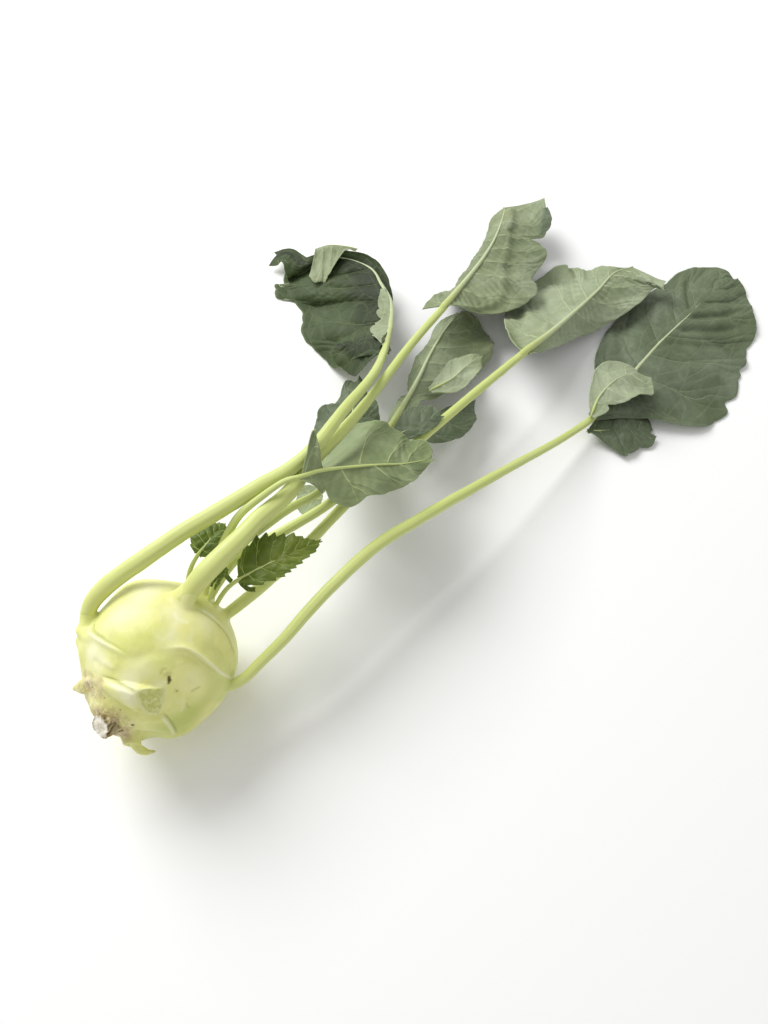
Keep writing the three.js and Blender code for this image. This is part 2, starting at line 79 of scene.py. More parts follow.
# A leaf's axis runs from its foot on the bulb, along the stalk and the midrib, to its tip:
# foot_to and blade_from say at which of its points the stalk and the blade start. face is 1
# where a blade shows its upper side and -1 where it shows its under side. foot and stalk are
# half sizes, and so is a lobe's foot, the start of its midrib.
LEAVES, LOBES, FLAPS = {}, {}, {}
LEAVES["leaf_1"] = dict(
    axis=[[4, -7.5, 63.6], [-6, -9.6, 62.6], [-16, -11, 57.8], [-23.4, -11.5, 52.2],
          [-27.8, -7.5, 53], [-29.8, -1, 56.5], [-28.8, 7.2, 59.3], [-26.7, 14.7, 61.4],
          [-21.8, 29, 64.8], [-17.5, 43, 67], [-11, 61, 69], [-5, 80, 70], [0, 95, 70.5],
          [2, 108, 72.2], [-1, 133, 70.5], [-8, 162, 59], [-21, 188, 41], [-28, 200, 34],
          [-37, 215, 28], [-49, 230, 23], [-63, 239, 20], [-76, 246, 18], [-97, 244, 15],
          [-106, 237.5, 12.5], [-114, 230.5, 10], [-128, 232, 8.5], [-135, 227.5, 6]],
    foot_to=6, blade_from=16, face=1,
    foot=dict(width=[1, 1.6, 3, 5, 5, 4], height=[1, 1.6, 3, 4, 4, 3.9]),
    stalk=[3.9, 3.7, 3.4, 2.9, 2.3, 2],
    left=half([3, 26, 44, 53, 60, 64, 66, 67, 66, 57, 50, 41, 31, 19, 10.5, 9.5, 8],
        [25, 21, 16, 15, 16, 26, 36, 34, 28, 44, 59, 73, 86, 84, 28, 22, 40],
        [-20, -34, -42, -33, -25, -21, -19, -17, -15, -15, -15, -16, -17, -17, -10, -5, 0],
        (2, 3), scallops=8, notches=[(0.31, 0.05, 0.02)]),
    right=half([2, 8, 20, 20, 8, 5.5, 4, 4, 3], [0, 5, 10, 20, 25, 20, 10, 10, 40],
        [-20, -85, -110, -105, -30, 40, 60, 10, 0], (0.6, 3),
        curl=[0, 0, 0, 0, 10, 20, 20, 0, 0]))
LEAVES["leaf_2"] = dict(
    axis=[[-2, 6, 60], [0, 18, 58], [1, 27, 60], [2, 35, 64], [3, 45, 66], [4, 57, 67],
          [4, 69, 67], [5, 81, 66], [5, 90, 65.5], [3.6, 98, 65], [2.8, 108, 65.2],
          [2, 130, 62.5], [-4, 160, 53], [-12, 198, 43], [-18, 238, 33], [-21, 255, 28],
          [-24, 274, 24], [-27, 291, 21], [-31, 308, 19], [-37, 325, 17], [-43, 338, 15]],
    foot_to=3, blade_from=14, face=-1,
    foot=dict(width=[4, 6.6, 6.6, 4.7], height=[3, 5.4, 5.6, 4.4]),
    stalk=[4.6, 3.8, 2.9, 2.3, 2.2, 2],
    left=half([12, 11, 11, 14, 22, 24, 25, 25, 24, 24, 22, 20, 18, 15, 12, 8, 2],
        [-30, 5, 24, 12, 22, 25, 28, 30, 30, 30, 30, 32, 34, 38, 45, 52, 60],
        [-10, -12, -22, -42, -52, -54, -55, -55, -55, -55, -54, -52, -50, -46, -40, -30, -20],
        (1.2, 3), scallops=5),
    right=half([2, 13, 33, 38, 34, 33, 27, 27, 25], [-20, -8, 10, 14, 22, 20, 10, 5, 22],
        [-5, -10, -10, -8, -8, -8, -5, 0, 5], (2.5, 3), pucker=0.45,
        creases=[([0.95, 0.75, 0.5, 0.36, 0.27, 0.2, 0.15], 2.2, 0.1)], scallops=4,
        notches=[(0.47, 0.06, 0.02), (0.79, 0.24, 0.02)]))
LEAVES["leaf_3"] = dict(
    axis=[[6, 20, 30], [9, 32, 32], [11, 40, 33], [16, 70, 35], [18, 113, 36], [25, 162, 38],
          [32, 218, 36], [34, 239, 33], [36, 261, 28], [37, 287, 22], [38, 313, 18],
          [38, 334, 15], [43, 347, 12]],
    foot_to=2, blade_from=7, face=-1, foot=dict(width=[5, 3.8, 2.9], height=[5, 3.6, 2.8]),
    stalk=[2.8, 2.6, 2.5, 2.3, 2],
    left=half([2, 20, 38, 48, 57, 34, 23, 4, 2], [-30, -5, 15, 32, 50, 48, 55, 60, 70],
        [0, -10, -22, -22, -20, -18, -15, -10, 0], (1.6, 4), pucker=0.3,
        dips=[(0.12, 0.6, 6.0, 8), (0.04, 0.3, 3.0, 6)],
        pleats=[(0.25, -3.0, 0.03), (0.36, 1.5, 0.02), (0.5, 1.2, 0.02)], scallops=4),
    right=half([2, 7, 11, 15, 20, 25, 29, 31, 22], [0, 20, 30, 35, 35, 35, 35, 28, 20],
        [-20, -50, -60, -50, -35, -18, -5, 3, 5], (2, 3), pucker=0.6, scallops=5))
LEAVES["leaf_4"] = dict(
    axis=[[10, 2.6, 64], [17.5, 7.8, 59.4], [24.5, 9.4, 52], [28.8, 9, 42], [32.3, 9.5, 33.4],
          [35.8, 16, 33.7], [38, 26, 37.6], [40.5, 40, 42], [41.5, 56, 45.5], [43, 75, 47],
          [46, 99, 46], [52, 121, 43], [60, 152, 36], [68, 185, 26], [75, 215, 16], [80, 242, 9],
          [82, 262, 8], [82, 287, 7], [83, 313, 6], [86, 338, 6], [89, 365, 5], [94, 384, 3]],
    foot_to=5, blade_from=15, face=1,
    foot=dict(width=[1, 1.8, 3.4, 6, 5.4, 3.4], height=[1, 1.8, 3, 4, 4.4, 3.3]),
    stalk=[2.4, 2.75, 2.75, 2.5, 2.1, 1.9],
    left=half([2, 12, 26, 34, 35, 35, 33, 24, 5], [-35, 0, 20, 30, 35, 40, 45, 55, 85], -9,
        (1.2, 3), scallops=5, pleats=[(0.3, 1.2, 0.02), (0.72, 2.0, 0.02)]),
    right=half([2, 15, 51, 55, 50, 45, 35.5, 21.5, 5], [-20, -5, 5, 25, 35, 40, 45, 55, 85], -6,
        (1.6, 4), scallops=7,
        pleats=[(0.5, 1.0, 0.02), (0.6, 2.8, 0.024), (0.69, 2.4, 0.018), (0.78, 0.8, 0.015)],
        notches=[(0.325, 0.09, 0.014), (0.43, 0.05, 0.012)]))
LEAVES["leaf_5"] = dict(
    axis=[[1, 24, 42], [1, 30, 46], [-1, 38, 51], [-2, 46, 56], [-4, 57, 62], [-3.5, 65, 67.5],
          [0, 77, 71.5], [4, 87.5, 74], [8, 92.5, 74.5], [11, 101, 71], [17.5, 113, 65],
          [26, 125, 60], [32, 134, 55], [38, 147, 48]],
    foot_to=3, blade_from=8, face=-1, foot=dict(width=[3.4, 2.4, 2.1]),
    stalk=[2.1, 1.8, 1.5, 1.15],
    left=half([21, 19, 6, 5, 30, 46, 51, 47, 41, 36, 30, 26, 23, 21, 18, 12, 3],
        [34, 36, 36, 20, 22, 22, 24, 26, 29, 33, 35, 38, 40, 45, 50, 60, 70],
        [28, 34, 40, -50, -58, -46, -34, -26, -20, -16, -13, -10, -10, -8, -6, -4, 0], (0.8, 3),
        scallops=9),
    right=half([2, 8, 17.5, 15.5, 15.5, 13.5, 10.5, 6.5, 3],
        [-20, -15, 5, 25, 35, 40, 45, 55, 70], [-20, -25, -20, -15, -12, -10, -8, -5, 0], (1, 3),
        scallops=8, notches=[(0.17, 0.35, 0.012)]))
LEAVES["leaf_6"] = dict(
    axis=[[-2, 24, 38], [-3, 31, 40.5], [-3, 37, 44], [-2, 46, 48.5], [-1, 57, 52], [2, 68, 54],
          [6, 85, 54.6], [10, 99, 52.5], [7, 115, 47.5], [4, 123, 43], [-2, 132, 39],
          [-10, 146, 34], [-21, 163, 26], [-31, 177, 19]],
    foot_to=2, blade_from=9, face=1, foot=dict(width=[3.6, 3, 2.5]), stalk=[2.4, 2.2, 1.9, 1.6],
    left=half([2, 8, 14, 18, 18, 14, 10, 8, 2], SPREAD_RAKE, -8, (3, 3)),
    right=half([2, 8, 14, 16, 16, 13, 10, 8, 2], SPREAD_RAKE, -12, (3, 3)))
LEAVES["leaf_7"] = dict(
    axis=[[0, 24, 34], [-1, 35, 36], [-2, 41, 37.5], [-2, 56, 41], [6, 76, 43], [14, 102, 43],
          [15, 123, 41], [12, 139, 39], [8, 156, 36], [2, 178, 30], [-3, 195, 26], [-10, 215, 20],
          [-16, 236, 14], [-20, 257, 8]],
    foot_to=2, blade_from=8, face=-1, foot=dict(width=[3.8, 3.1, 2.6]),
    stalk=[2.5, 2.4, 2.1, 1.8],
    left=half([2, 10, 14, 16, 16, 14, 12, 8, 2], [-10, 0, 20, 30, 30, 30, 35, 45, 60],
        [-30, -55, -60, -60, -55, -45, -35, -20, 0], (1.5, 3)),
    right=half([2, 6, 8, 20, 30, 34, 32, 22, 2], [-30, -10, 10, 20, 25, 30, 35, 45, 60],
        [-10, -15, -15, -12, -12, -10, -8, -5, 0], (3, 4)))
LEAVES["young_leaf_1"] = dict(
    axis=[[6.5, 25, 40], [7.5, 31, 43.5], [8, 36, 48], [9, 40, 51.5], [11.5, 45, 55],
          [16, 54, 57.5], [22, 67, 58], [27, 80, 55]],
    foot_to=2, blade_from=4, face=1, foot=dict(width=[1.6, 1.3, 1.1]), stalk=[1.1, 0.9],
    left=half([1, 9, 14, 13, 11, 9, 6, 3, 1], YOUNG_RAKE, 6, (0.6, 4), teeth=11),
    right=half([1, 6, 8, 9, 8, 7, 6, 4, 1], YOUNG_RAKE, -4, (0.6, 4), teeth=11))
LEAVES["young_leaf_2"] = dict(
    axis=[[-5, 25, 44], [-7, 30, 47], [-9, 34, 50], [-10, 38, 53], [-10.5, 43, 55],
          [-10.5, 47, 56], [-11, 53, 56], [-12, 60, 54]],
    foot_to=2, blade_from=4, face=1, foot=dict(width=[1.6, 1.3, 1.1]), stalk=[1.1, 0.9],
    left=half([2, 6, 8, 8, 7, 6, 5, 3, 1], STEEP_YOUNG_RAKE, 0, (0.4, 3), teeth=8),
    right=half([2, 4, 5, 5, 5, 5, 4, 3, 1], STEEP_YOUNG_RAKE, -4, (0.4, 3), teeth=8))
LEAVES["young_leaf_3"] = dict(
    axis=[[4, 25, 42], [4.5, 30, 46], [4.5, 34, 50], [4.5, 36, 52], [4.5, 38, 54.5],
          [5.5, 43, 58]],
    foot_to=2, blade_from=3, face=1, foot=dict(width=[1.4, 1.2, 1]), stalk=[1, 0.9],
    left=half([1, 2.4, 2.8, 2, 1], BUD_RAKE, 20, (0.2, 2), teeth=4),
    right=half([1, 2.4, 2.8, 2, 1], BUD_RAKE, 20, (0.2, 2), teeth=4))

# Lobes that stand apart from their leaf.
LOBES["leaf_4_lobe_1"] = dict(
    axis=[[79.5, 240, 13], [77, 252, 16], [79, 266, 18], [85, 279, 15]],
    face=-1, foot=0.9,
    left=half([1, 3, 6, 10, 12, 13, 11, 6, 1], [20, 20, 20, 20, 10, 5, 10, 30, 50], 0, (0.8, 2),
        scallops=3),
    right=half([2, 7, 9, 12, 14, 15, 16, 16, 8], [-20, 0, 5, 5, 5, 10, 20, 25, 40], 0, (0.8, 2),
        scallops=4, notches=[(0.22, 0.3, 0.04)]))
LOBES["leaf_4_lobe_2"] = dict(
    axis=[[82, 235.5, 6], [89, 242.5, 5], [98.5, 250.5, 4], [109, 257.5, 3]],
    face=1, foot=0.9,
    left=half([1, 6, 11, 13, 13, 14, 13, 10, 3], [10, 10, 15, 20, 10, 5, 10, 20, 40], -4,
        (0.8, 3), scallops=4, depth=0.12),
    right=half([1, 4, 8, 13, 15, 12, 10, 9, 4], [0, 0, 5, 10, 10, 20, 30, 40, 60], -6, (1, 2),
        scallops=4, depth=0.14))
LOBES["leaf_6_lobe"] = dict(
    axis=[[8, 103, 38], [4, 101, 37], [-1, 97, 35]],
    face=-1, foot=0.8,
    left=half([2, 6, 8, 6, 2], LOBE_RAKE, 0, (0.5, 2)),
    right=half([2, 6, 8, 6, 2], LOBE_RAKE, 0, (0.5, 2)))
LOBES["leaf_7_lobe_1"] = dict(
    axis=[[14, 150, 41], [18, 155, 44], [22, 163, 45], [26, 173, 43]],
    face=1, foot=0.8,
    left=half([2, 9, 11.5, 10, 2], LOBE_RAKE, -4, (0.6, 2)),
    right=half([2, 5, 6, 5, 2], LOBE_RAKE, -6, (0.6, 2)))
LOBES["leaf_7_lobe_2"] = dict(
    axis=[[8, 190, 30], [13, 203, 31], [14, 213, 31], [15, 225, 28]],
    face=-1, foot=0.8,
    left=half([2, 7, 9, 7, 2], LOBE_RAKE, -4, (1, 2)),
    right=half([2, 7, 8, 7, 2], LOBE_RAKE, -8, (1, 2)))
LOBES["leaf_7_lobe_3"] = dict(
    axis=[[17, 165, 27], [23, 176, 25], [25, 194, 20], [24, 208, 14]],
    face=1, foot=0.8,
    left=half([2, 7, 9, 8, 2], LOBE_RAKE, -10, (1, 2)),
    right=half([2, 9, 11, 8, 2], LOBE_RAKE, -10, (1.2, 3)))

# Smaller flaps of a blade, made as lobes and joined to their leaf.
FLAPS["young_leaf_1"] = [
    dict(
        axis=[[8.3, 43, 51.6], [6.3, 43, 54], [4.6, 44.1, 55], [4.6, 45.5, 56]],
        face=1, foot=0.3,
        left=half([0.4, 0.8, 0.8, 0.4], 20, 10, (0.1, 2), scallops=3),
        right=half([0.4, 0.8, 0.9, 0.4], 20, 10, (0.1, 2), scallops=3)),
    dict(
        axis=[[10.6, 45.3, 53.6], [13.5, 44.9, 52], [16.1, 45, 51], [18.4, 46.7, 50.4]],
        face=1, foot=0.3,
        left=half([0.4, 1, 1.1, 0.4], 20, 10, (0.1, 2), scallops=3),
        right=half([0.4, 1, 0.8, 0.4], 20, 10, (0.1, 2), scallops=3))]
FLAPS["leaf_2"] = [
    dict(
        axis=[[-9.5, 324.5, 24], [-14.8, 335.1, 23], [-20.6, 347, 21]],
        face=1, foot=0.35,
        left=half(0.8, 0, -30, (0, 1)),
        right=half([1, 3.4, 4.8, 5.2, 5, 4, 2], [0, 0, 5, 5, 10, 20, 40], -10, (0.3, 2),
            scallops=2))]
FLAPS["leaf_1"] = [
    dict(
        axis=[[-25, 194, 37.5], [-31, 205, 32], [-39, 218, 27], [-49, 229, 23.5], [-58, 235.5, 22]],
        face=-1, foot=0.5,
        left=half([1.5, 6.5, 9, 9, 6.5, 7.5, 6, 5, 2], [10, 5, 0, 0, 0, 5, 5, 10, 20],
            [5, 0, -2, -4, -4, 0, 0, 0, 0], (0.6, 4), scallops=5.5, depth=0.32),
        right=half(1.4, 0, -30, (0, 1))),
    dict(
        axis=[[-90, 250.5, 21], [-98, 247, 21], [-106, 243.5, 19.5], [-112, 238, 17]],
        face=-1, foot=0.5,
        left=half([0.8, 1.2, 4, 10, 17, 21, 22, 22, 17], [20, 20, 15, 5, 0, 5, 15, 22, 24],
            [-10, -15, -20, -22, -24, -24, -22, -20, -15], (0.8, 3), scallops=5),
        right=half(1.4, 0, -60, (0, 1))),
    dict(
        axis=[[-27, 194, 37], [-35.5, 194, 30.5], [-44, 192, 25], [-54, 189, 20.5]],
        face=1, foot=0.5,
        left=half([8, 17, 17, 13, 4], [-10, 0, 10, 25, 60], [-10, -20, -25, -25, 0], (0.8, 2),
            scallops=3),
        right=half([3, 15, 16, 11, 2], [10, 10, 15, 25, 60], [-5, -5, -5, -5, 0], (0.8, 2),
            scallops=3))]

# Feet of leaves that are gone.
OLD_FEET = {
    "cut": dict(points=[[-1, -22.5, 55], [6, -20.9, 57.2], [11.5, -19.4, 57.2], [16.5, -17.3, 56],
        [22, -13.5, 53]], width=[1.6, 3.4, 5, 6, 6], height=[1, 2, 3, 3.6, 3.6]),
    "torn_below": dict(points=[[11, -26, 34.5], [15.8, -30.2, 30.6], [19.5, -32.3, 27.5],
        [22.6, -31.5, 26.3], [25.2, -29.1, 26.2]], width=[5.4, 4.6, 3.6, 2.6, 0.9],
        height=[2.6, 2.5, 2.4, 1.9, 0.7]),
    "torn_left": dict(points=[[-7, -24, 48], [-11, -28, 44.5], [-15.5, -31.5, 40.5]],
        width=[4.4, 3.4, 1.0], height=[1.8, 1.5, 0.7]),
}
# Feet that spread flatter on the bulb than they stand on the stalk.
FLAT_FEET = {
    "leaf_1": dict(width=[1, 1.4, 2.2, 2.9, 3.3, 3.7], height=[1, 1.2, 1.8, 2.6, 3.2, 3.6]),
    "leaf_2": dict(width=[5, 6.4, 5.6, 4.5], height=[0.8, 2.6, 4.2, 4.3]),
    "leaf_4": dict(width=[1, 1.6, 2.6, 3.5, 3.2, 2.5], height=[1, 1.6, 2.4, 3, 2.9, 2.4]),
}

# ---------- routes and smooth values ----------

# Over how many millimetres a heading is taken.
HEADING_REACH = 1.0


class Way:
    """A smooth route through a few points, measured along its length."""

    def __init__(self, points):
        given = np.array(points, float)
        before, after = 2 * given[0] - given[1], 2 * given[-1] - given[-2]
        p = np.vstack([[before], given, [after]])
        t = np.arange(STEPS_PER_SPAN) / STEPS_PER_SPAN
        spots = [self.between(*p[i - 1:i + 3], t) for i in range(1, len(p) - 2)]
        self.spots = np.vstack(spots + [given[-1:]])
        steps = np.linalg.norm(np.diff(self.spots, axis=0), axis=1)
        self.lengths = np.concatenate([[0], np.cumsum(steps)])
        self.marks = self.lengths[::STEPS_PER_SPAN]
        self.length = self.lengths[-1]

    @staticmethod
    def between(p0, p1, p2, p3, t):
        gaps = [max(np.linalg.norm(b - a) ** 0.5, 1e-4) for a, b in ((p0, p1), (p1, p2), (p2, p3))]
        m1 = (p1 - p0) / gaps[0] - (p2 - p0) / (gaps[0] + gaps[1]) + (p2 - p1) / gaps[1]
        m2 = (p2 - p1) / gaps[1] - (p3 - p1) / (gaps[1] + gaps[2]) + (p3 - p2) / gaps[2]
        return bent(p1, p2, m1 * gaps[1], m2 * gaps[1], t[:, None])

    def at(self, reach):
        return np.stack([np.interp(reach, self.lengths, self.spots[:, k]) for k in range(3)], -1)

    def heading(self, reach):
        ahead = np.clip(np.asarray(reach, float) + HEADING_REACH / 2, HEADING_REACH, self.length)
        return unit(self.at(ahead) - self.at(ahead - HEADING_REACH))


def bent(start, end, leaving, arriving, t):
    """A cubic curve from start to end, with its slopes at both."""
    return (start + leaving * t + (-3 * start + 3 * end - 2 * leaving - arriving) * t ** 2
            + (2 * start - 2 * end + leaving + arriving) * t ** 3)


def unit(v):
    return v / np.maximum(np.linalg.norm(v, axis=-1, keepdims=True), 1e-9)


def across(heading, up=UP):
    """The directions to the left of a heading, and upwards square to it."""
    left = unit(np.cross(np.broadcast_to(up, heading.shape), heading))
    return left, np.cross(heading, left)


def profile(values, t):
    """A smooth value at t, from a few values evenly spaced from 0 to 1."""
    if np.isscalar(values):
        return np.full(np.shape(t), float(values))
    v = np.array(values, float)
    place = np.clip(np.asarray(t, float), 0, 1) * (len(v) - 1)
    i = np.minimum(place.astype(int), len(v) - 2)
    v0, v1, v2, v3 = v[np.maximum(i - 1, 0)], v[i], v[i + 1], v[np.minimum(i + 2, len(v) - 1)]
    return bent(v1, v2, (v2 - v0) / 2, (v3 - v1) / 2, place - i)


def smooth_step(low, high, x):
    t = np.clip((x - low) / (high - low), 0, 1)
    return t * t * (3 - 2 * t)


def hump(x, width, power=2):
    """1 at 0, falling off softly to both sides."""
    return np.exp(-(x / width) ** power)


def grain(points, scale, seed=0.0):
    """Soft noise from -1 to 1 at points in millimetres; scale is the size of its lumps."""
    flat = points.reshape(-1, 3) / scale + seed
    return np.array([noise.noise(p) for p in flat.tolist()]).reshape(points.shape[:-1])


def nearest(places, spots):
    """For each place, how far the nearest of a few spots is, and which one that is."""
    gap = np.linalg.norm(places[:, None, :] - spots[None, :, :], axis=2)
    which = gap.argmin(axis=1)
    return gap[np.arange(len(places)), which], which


# ---------- making meshes ----------


def points_of(mesh):
    flat = np.empty(len(mesh.vertices) * 3)
    mesh.vertices.foreach_get("co", flat)
    return flat.reshape(-1, 3)


def places_of(mesh):
    """Where a mesh's points are, in the tables' millimetres."""
    return points_of(mesh) / MM + MIDDLE


def lay(mesh, places, fields):
    """Moves a mesh's points to places in millimetres, and gives them named values."""
    mesh.vertices.foreach_set("co", ((places - MIDDLE) * MM).ravel())
    for name, values in fields.items():
        attribute = mesh.attributes.new(name, "FLOAT", "POINT")
        attribute.data.foreach_set("value", values.astype(np.float32))
    mesh.update()


def sheet_of_quads(name, surface, fields, uv):
    """A grid laid out on a surface, an array of rows by columns of points in millimetres."""
    rows, columns = surface.shape[0] - 1, surface.shape[1] - 1
    bpy.ops.object.select_all(action="DESELECT")
    bpy.ops.mesh.primitive_grid_add(x_subdivisions=columns, y_subdivisions=rows, size=1)
    piece = bpy.context.object
    piece.name = name
    piece.data.name = name
    mesh = piece.data
    flat = points_of(mesh)
    row = np.rint((flat[:, 1] + 0.5) * rows).astype(int)
    column = np.rint((flat[:, 0] + 0.5) * columns).astype(int)
    lay(mesh, surface[row, column], {key: values[row, column] for key, values in fields.items()})
    corners = np.empty(len(mesh.loops), int)
    mesh.loops.foreach_get("vertex_index", corners)
    layer = mesh.uv_layers[0]
    layer.name = "grain"
    layer.data.foreach_set("uv", uv[row[corners], column[corners]].ravel())
    return piece


def only(piece):
    bpy.ops.object.select_all(action="DESELECT")
    piece.select_set(True)
    bpy.context.view_layer.objects.active = piece


def apply_modifier(piece, kind, **settings):
    only(piece)
    modifier = piece.modifiers.new(kind.title(), kind)
    for key, value in settings.items():
        setattr(modifier, key, value)
    bpy.ops.object.modifier_apply(modifier=modifier.name)


def close_seams(piece):
    only(piece)
    bpy.ops.object.mode_set(mode="EDIT")
    bpy.ops.mesh.select_all(action="SELECT")
    bpy.ops.mesh.remove_doubles(threshold=SEAM_REACH)
    bpy.ops.mesh.normals_make_consistent(inside=False)
    bpy.ops.object.mode_set(mode="OBJECT")


def smooth(piece):
    only(piece)
    bpy.ops.object.shade_smooth()


def joined(name, pieces):
    bpy.ops.object.select_all(action="DESELECT")
    for piece in pieces:
        piece.select_set(True)
    bpy.context.view_layer.objects.active = pieces[0]
    bpy.ops.object.join()
    pieces[0].name = name
    pieces[0].data.name = name
    return pieces[0]


# A rod's rounded ends: how far each ring is past the end and how wide it still is, as shares
# of the rounding and of the rod's own width.
ROUNDING = [(turn, math.sqrt(1 - turn ** 2)) for turn in (0.35, 0.7, 0.92)] + [(1.0, 1e-4)]
LOWEST_ROD = 0.1
RIBS_FADE_IN = 30
# How many millimetres one unit of the grain map covers.
MAP_SIZE = 50


def rod(name, way, start, end, width, height=None, sides=28, step=1.0, ribs=0.0,
        rounded=(1.2, 1.2), stand=None):
    """A closed rod along a route, its ends rounded off; width and height are half sizes.
    It stands upright, or away from a given spot."""
    height = width if height is None else height
    length = end - start
    steps = max(int(length / step), 6)
    t = np.arange(steps + 1) / steps
    angle = np.arange(sides + 1) / sides * 2 * math.pi - math.pi / 2
    heading = way.heading(start + length * t)
    centre = way.at(start + length * t)
    left, up = across(heading, UP if stand is None else centre - stand)
    wide, high = profile(width, t), profile(height, t)
    flutes = 0.5 * np.cos(angle * 5 + 1.2) + 0.35 * np.cos(angle * 9)
    rings = ([(0, -turn, rounded[0], share) for turn, share in reversed(ROUNDING)]
             + [(i, 0.0, 0.0, 1.0) for i in range(steps + 1)]
             + [(-1, turn, rounded[1], share) for turn, share in ROUNDING])
    lengths = np.array([length * t[i] for i, *_ in rings])
    surface = []
    for (i, turn, rounding, share), reach in zip(rings, lengths):
        shape = 1 + ribs * smooth_step(0, RIBS_FADE_IN, reach) * flutes
        surface.append(centre[i] + heading[i] * turn * rounding
                       + np.outer(np.cos(angle) * shape * (wide[i] * share), left[i])
                       + np.outer(np.sin(angle) * shape * (high[i] * share), up[i]))
    surface = np.array(surface)
    surface[:, -1] = surface[:, 0]
    lumps = grain(surface, 9.0, 3.1) * 0.05 + grain(surface, 3.0, 7.7) * 0.02
    outward = unit(surface - surface.mean(axis=1, keepdims=True))
    surface = surface + lumps[..., None] * outward * wide.mean()
    surface[:, -1] = surface[:, 0]
    for i in (0, -1):
        surface[i] = surface[i].mean(axis=0)
    surface[..., 2] = np.maximum(surface[..., 2], LOWEST_ROD)
    around, reach = np.broadcast_arrays(np.arange(sides + 1) / sides, lengths[:, None])
    uv = np.stack([around, reach / MAP_SIZE], -1)
    along = (reach / length)[:, ::-1]
    piece = sheet_of_quads(name, surface[:, ::-1], {"along": along}, uv[:, ::-1])
    close_seams(piece)
    smooth(piece)
    return piece


# ---------- leaf blades ----------

# The side veins of half a blade and their two forks: how far each turns off by the margin,
# the share of the width where it leaves the vein and where it shows, and how clearly.
VEIN_KINDS = {"veins": (0.0, 0.52, 0.0, 1.0), "forks_up": (0.36, 0.34, 0.36, 0.55),
              "forks_down": (-0.3, 0.52, 0.54, 0.45)}
# A place that is no vein's is taken to be this far from one.
NO_VEIN = 9.0
# Between veins a blade swells, fully from FIELD_REACH off, and a vein lies sunk in it.
FIELD_REACH, FIELD_SWELL = 5.0, 0.75
VEIN_REACH, VEIN_DEPTH = 0.8, 0.35
# A blade this wide has room for the whole of its relief, a narrower one for a share.
FULL_WIDTH, LEAST_ROOM = 14, 0.12
WRINKLE_SPACING, WRINKLE_SWING = 3.9, 3.4
# What a half has where its table doesn't say.
PUCKER, SCALLOPS, SCALLOP_DEPTH = 0.15, 9, 0.045
# A tooth of a young leaf rises slowly to its peak, and by this share of the width.
TOOTH_PEAK, TOOTH_DEPTH = 0.75, 0.18


def vein_courses(t, s, length, starts, seed):
    """Where the veins run on half a blade: how many veins each place is past, counted on
    the veins themselves and on their upper and lower forks, and how far apart they are."""
    t, s = np.broadcast_arrays(t, s)
    count = len(starts)
    bend = 0.075 + 0.03 * math.sin(seed)
    sway = 0.01 * np.sin(s * 8 + t * 25 + seed) * s
    known = np.concatenate([[starts[0] - 0.4], starts, [starts[-1] + 0.4]])
    counted = np.arange(-1.0, count + 1)
    spacing = np.gradient(np.array(starts, float))
    fields = {}
    for kind, (turn, fork, _, _) in VEIN_KINDS.items():
        spread = turn * np.interp(t, starts, spacing) * np.maximum(s - fork, 0) / (1 - fork)
        fields[kind] = np.interp(t - bend * s ** 2 - sway - spread, known, counted)
    slope = np.gradient(fields["veins"], axis=0) * t.shape[0]
    fields["gap"] = length / np.maximum(slope, 0.5)
    inside = (fields["veins"] > -0.5) & (fields["veins"] < count - 0.5)
    fields["inside"] = inside.astype(float)
    return fields


def to_vein(fields, kind):
    """The way in millimetres from each place to the nearest vein or fork of a kind."""
    part = fields[kind] - np.rint(fields[kind])
    return np.where(fields["inside"] > 0.5, np.abs(part) * fields["gap"], NO_VEIN)


def half_width(half, rib, side, t, seed):
    """How wide half a blade is along its midrib, with its teeth or scallops and its notches."""
    width = profile(half["width"], t)
    if half.get("teeth"):
        tooth = (t * half["teeth"] + 0.3 * np.sin(t * 9 + seed)) % 1.0
        rising, falling = tooth / TOOTH_PEAK, (1 - tooth) / (1 - TOOTH_PEAK)
        width = width * (0.91 + TOOTH_DEPTH * np.where(tooth < TOOTH_PEAK, rising, falling))
    else:
        turns = t * half.get("scallops", SCALLOPS) + 0.25 * np.sin(t * 7 + seed)
        notch = np.abs(np.sin(turns * math.pi))
        uneven = np.array([noise.noise((x * 7, seed, side)) for x in t])
        calm_tip = 0.2 + 0.8 * smooth_step(0.02, 0.2, 1 - t)
        scallops = half.get("depth", SCALLOP_DEPTH) * (notch ** 0.6 - 0.6) + 0.05 * uneven
        width = width * (1 + scallops * calm_tip)
    for place, depth, spread in half.get("notches", []):
        width = width * (1 - depth * hump(t - place, spread))
    return np.maximum(width, rib + 0.8)


def half_blade(way, start, end, half, side, rib, t, shares, seed):
    """The surface of half a blade, row by row from its midrib outwards, and its width."""
    reach = start + (end - start) * t
    place, heading = way.at(reach), way.heading(reach)
    left, up = across(heading)
    rake = np.radians(profile(half["rake"], t))[:, None]
    lift = np.radians(profile(half["lift"], t))
    curl = np.radians(profile(half.get("curl", 0), t))
    width = half_width(half, rib, side, t, seed)
    outward = unit(left * side * np.cos(rake) + heading * np.sin(rake))
    high, waves = half["ripple"]
    row = [place]
    for before, share in zip(shares, shares[1:]):
        angle = (lift + curl * (before + share) / 2)[:, None]
        reached = (width * (share - before))[:, None]
        place = place + outward * np.cos(angle) * reached + up * np.sin(angle) * reached
        wave = (high * share ** 2 * np.sin(2 * math.pi * waves * t + side + waves))[:, None]
        row.append(place - outward * np.sin(angle) * wave + up * np.cos(angle) * wave)
    return np.stack(row, axis=1), width


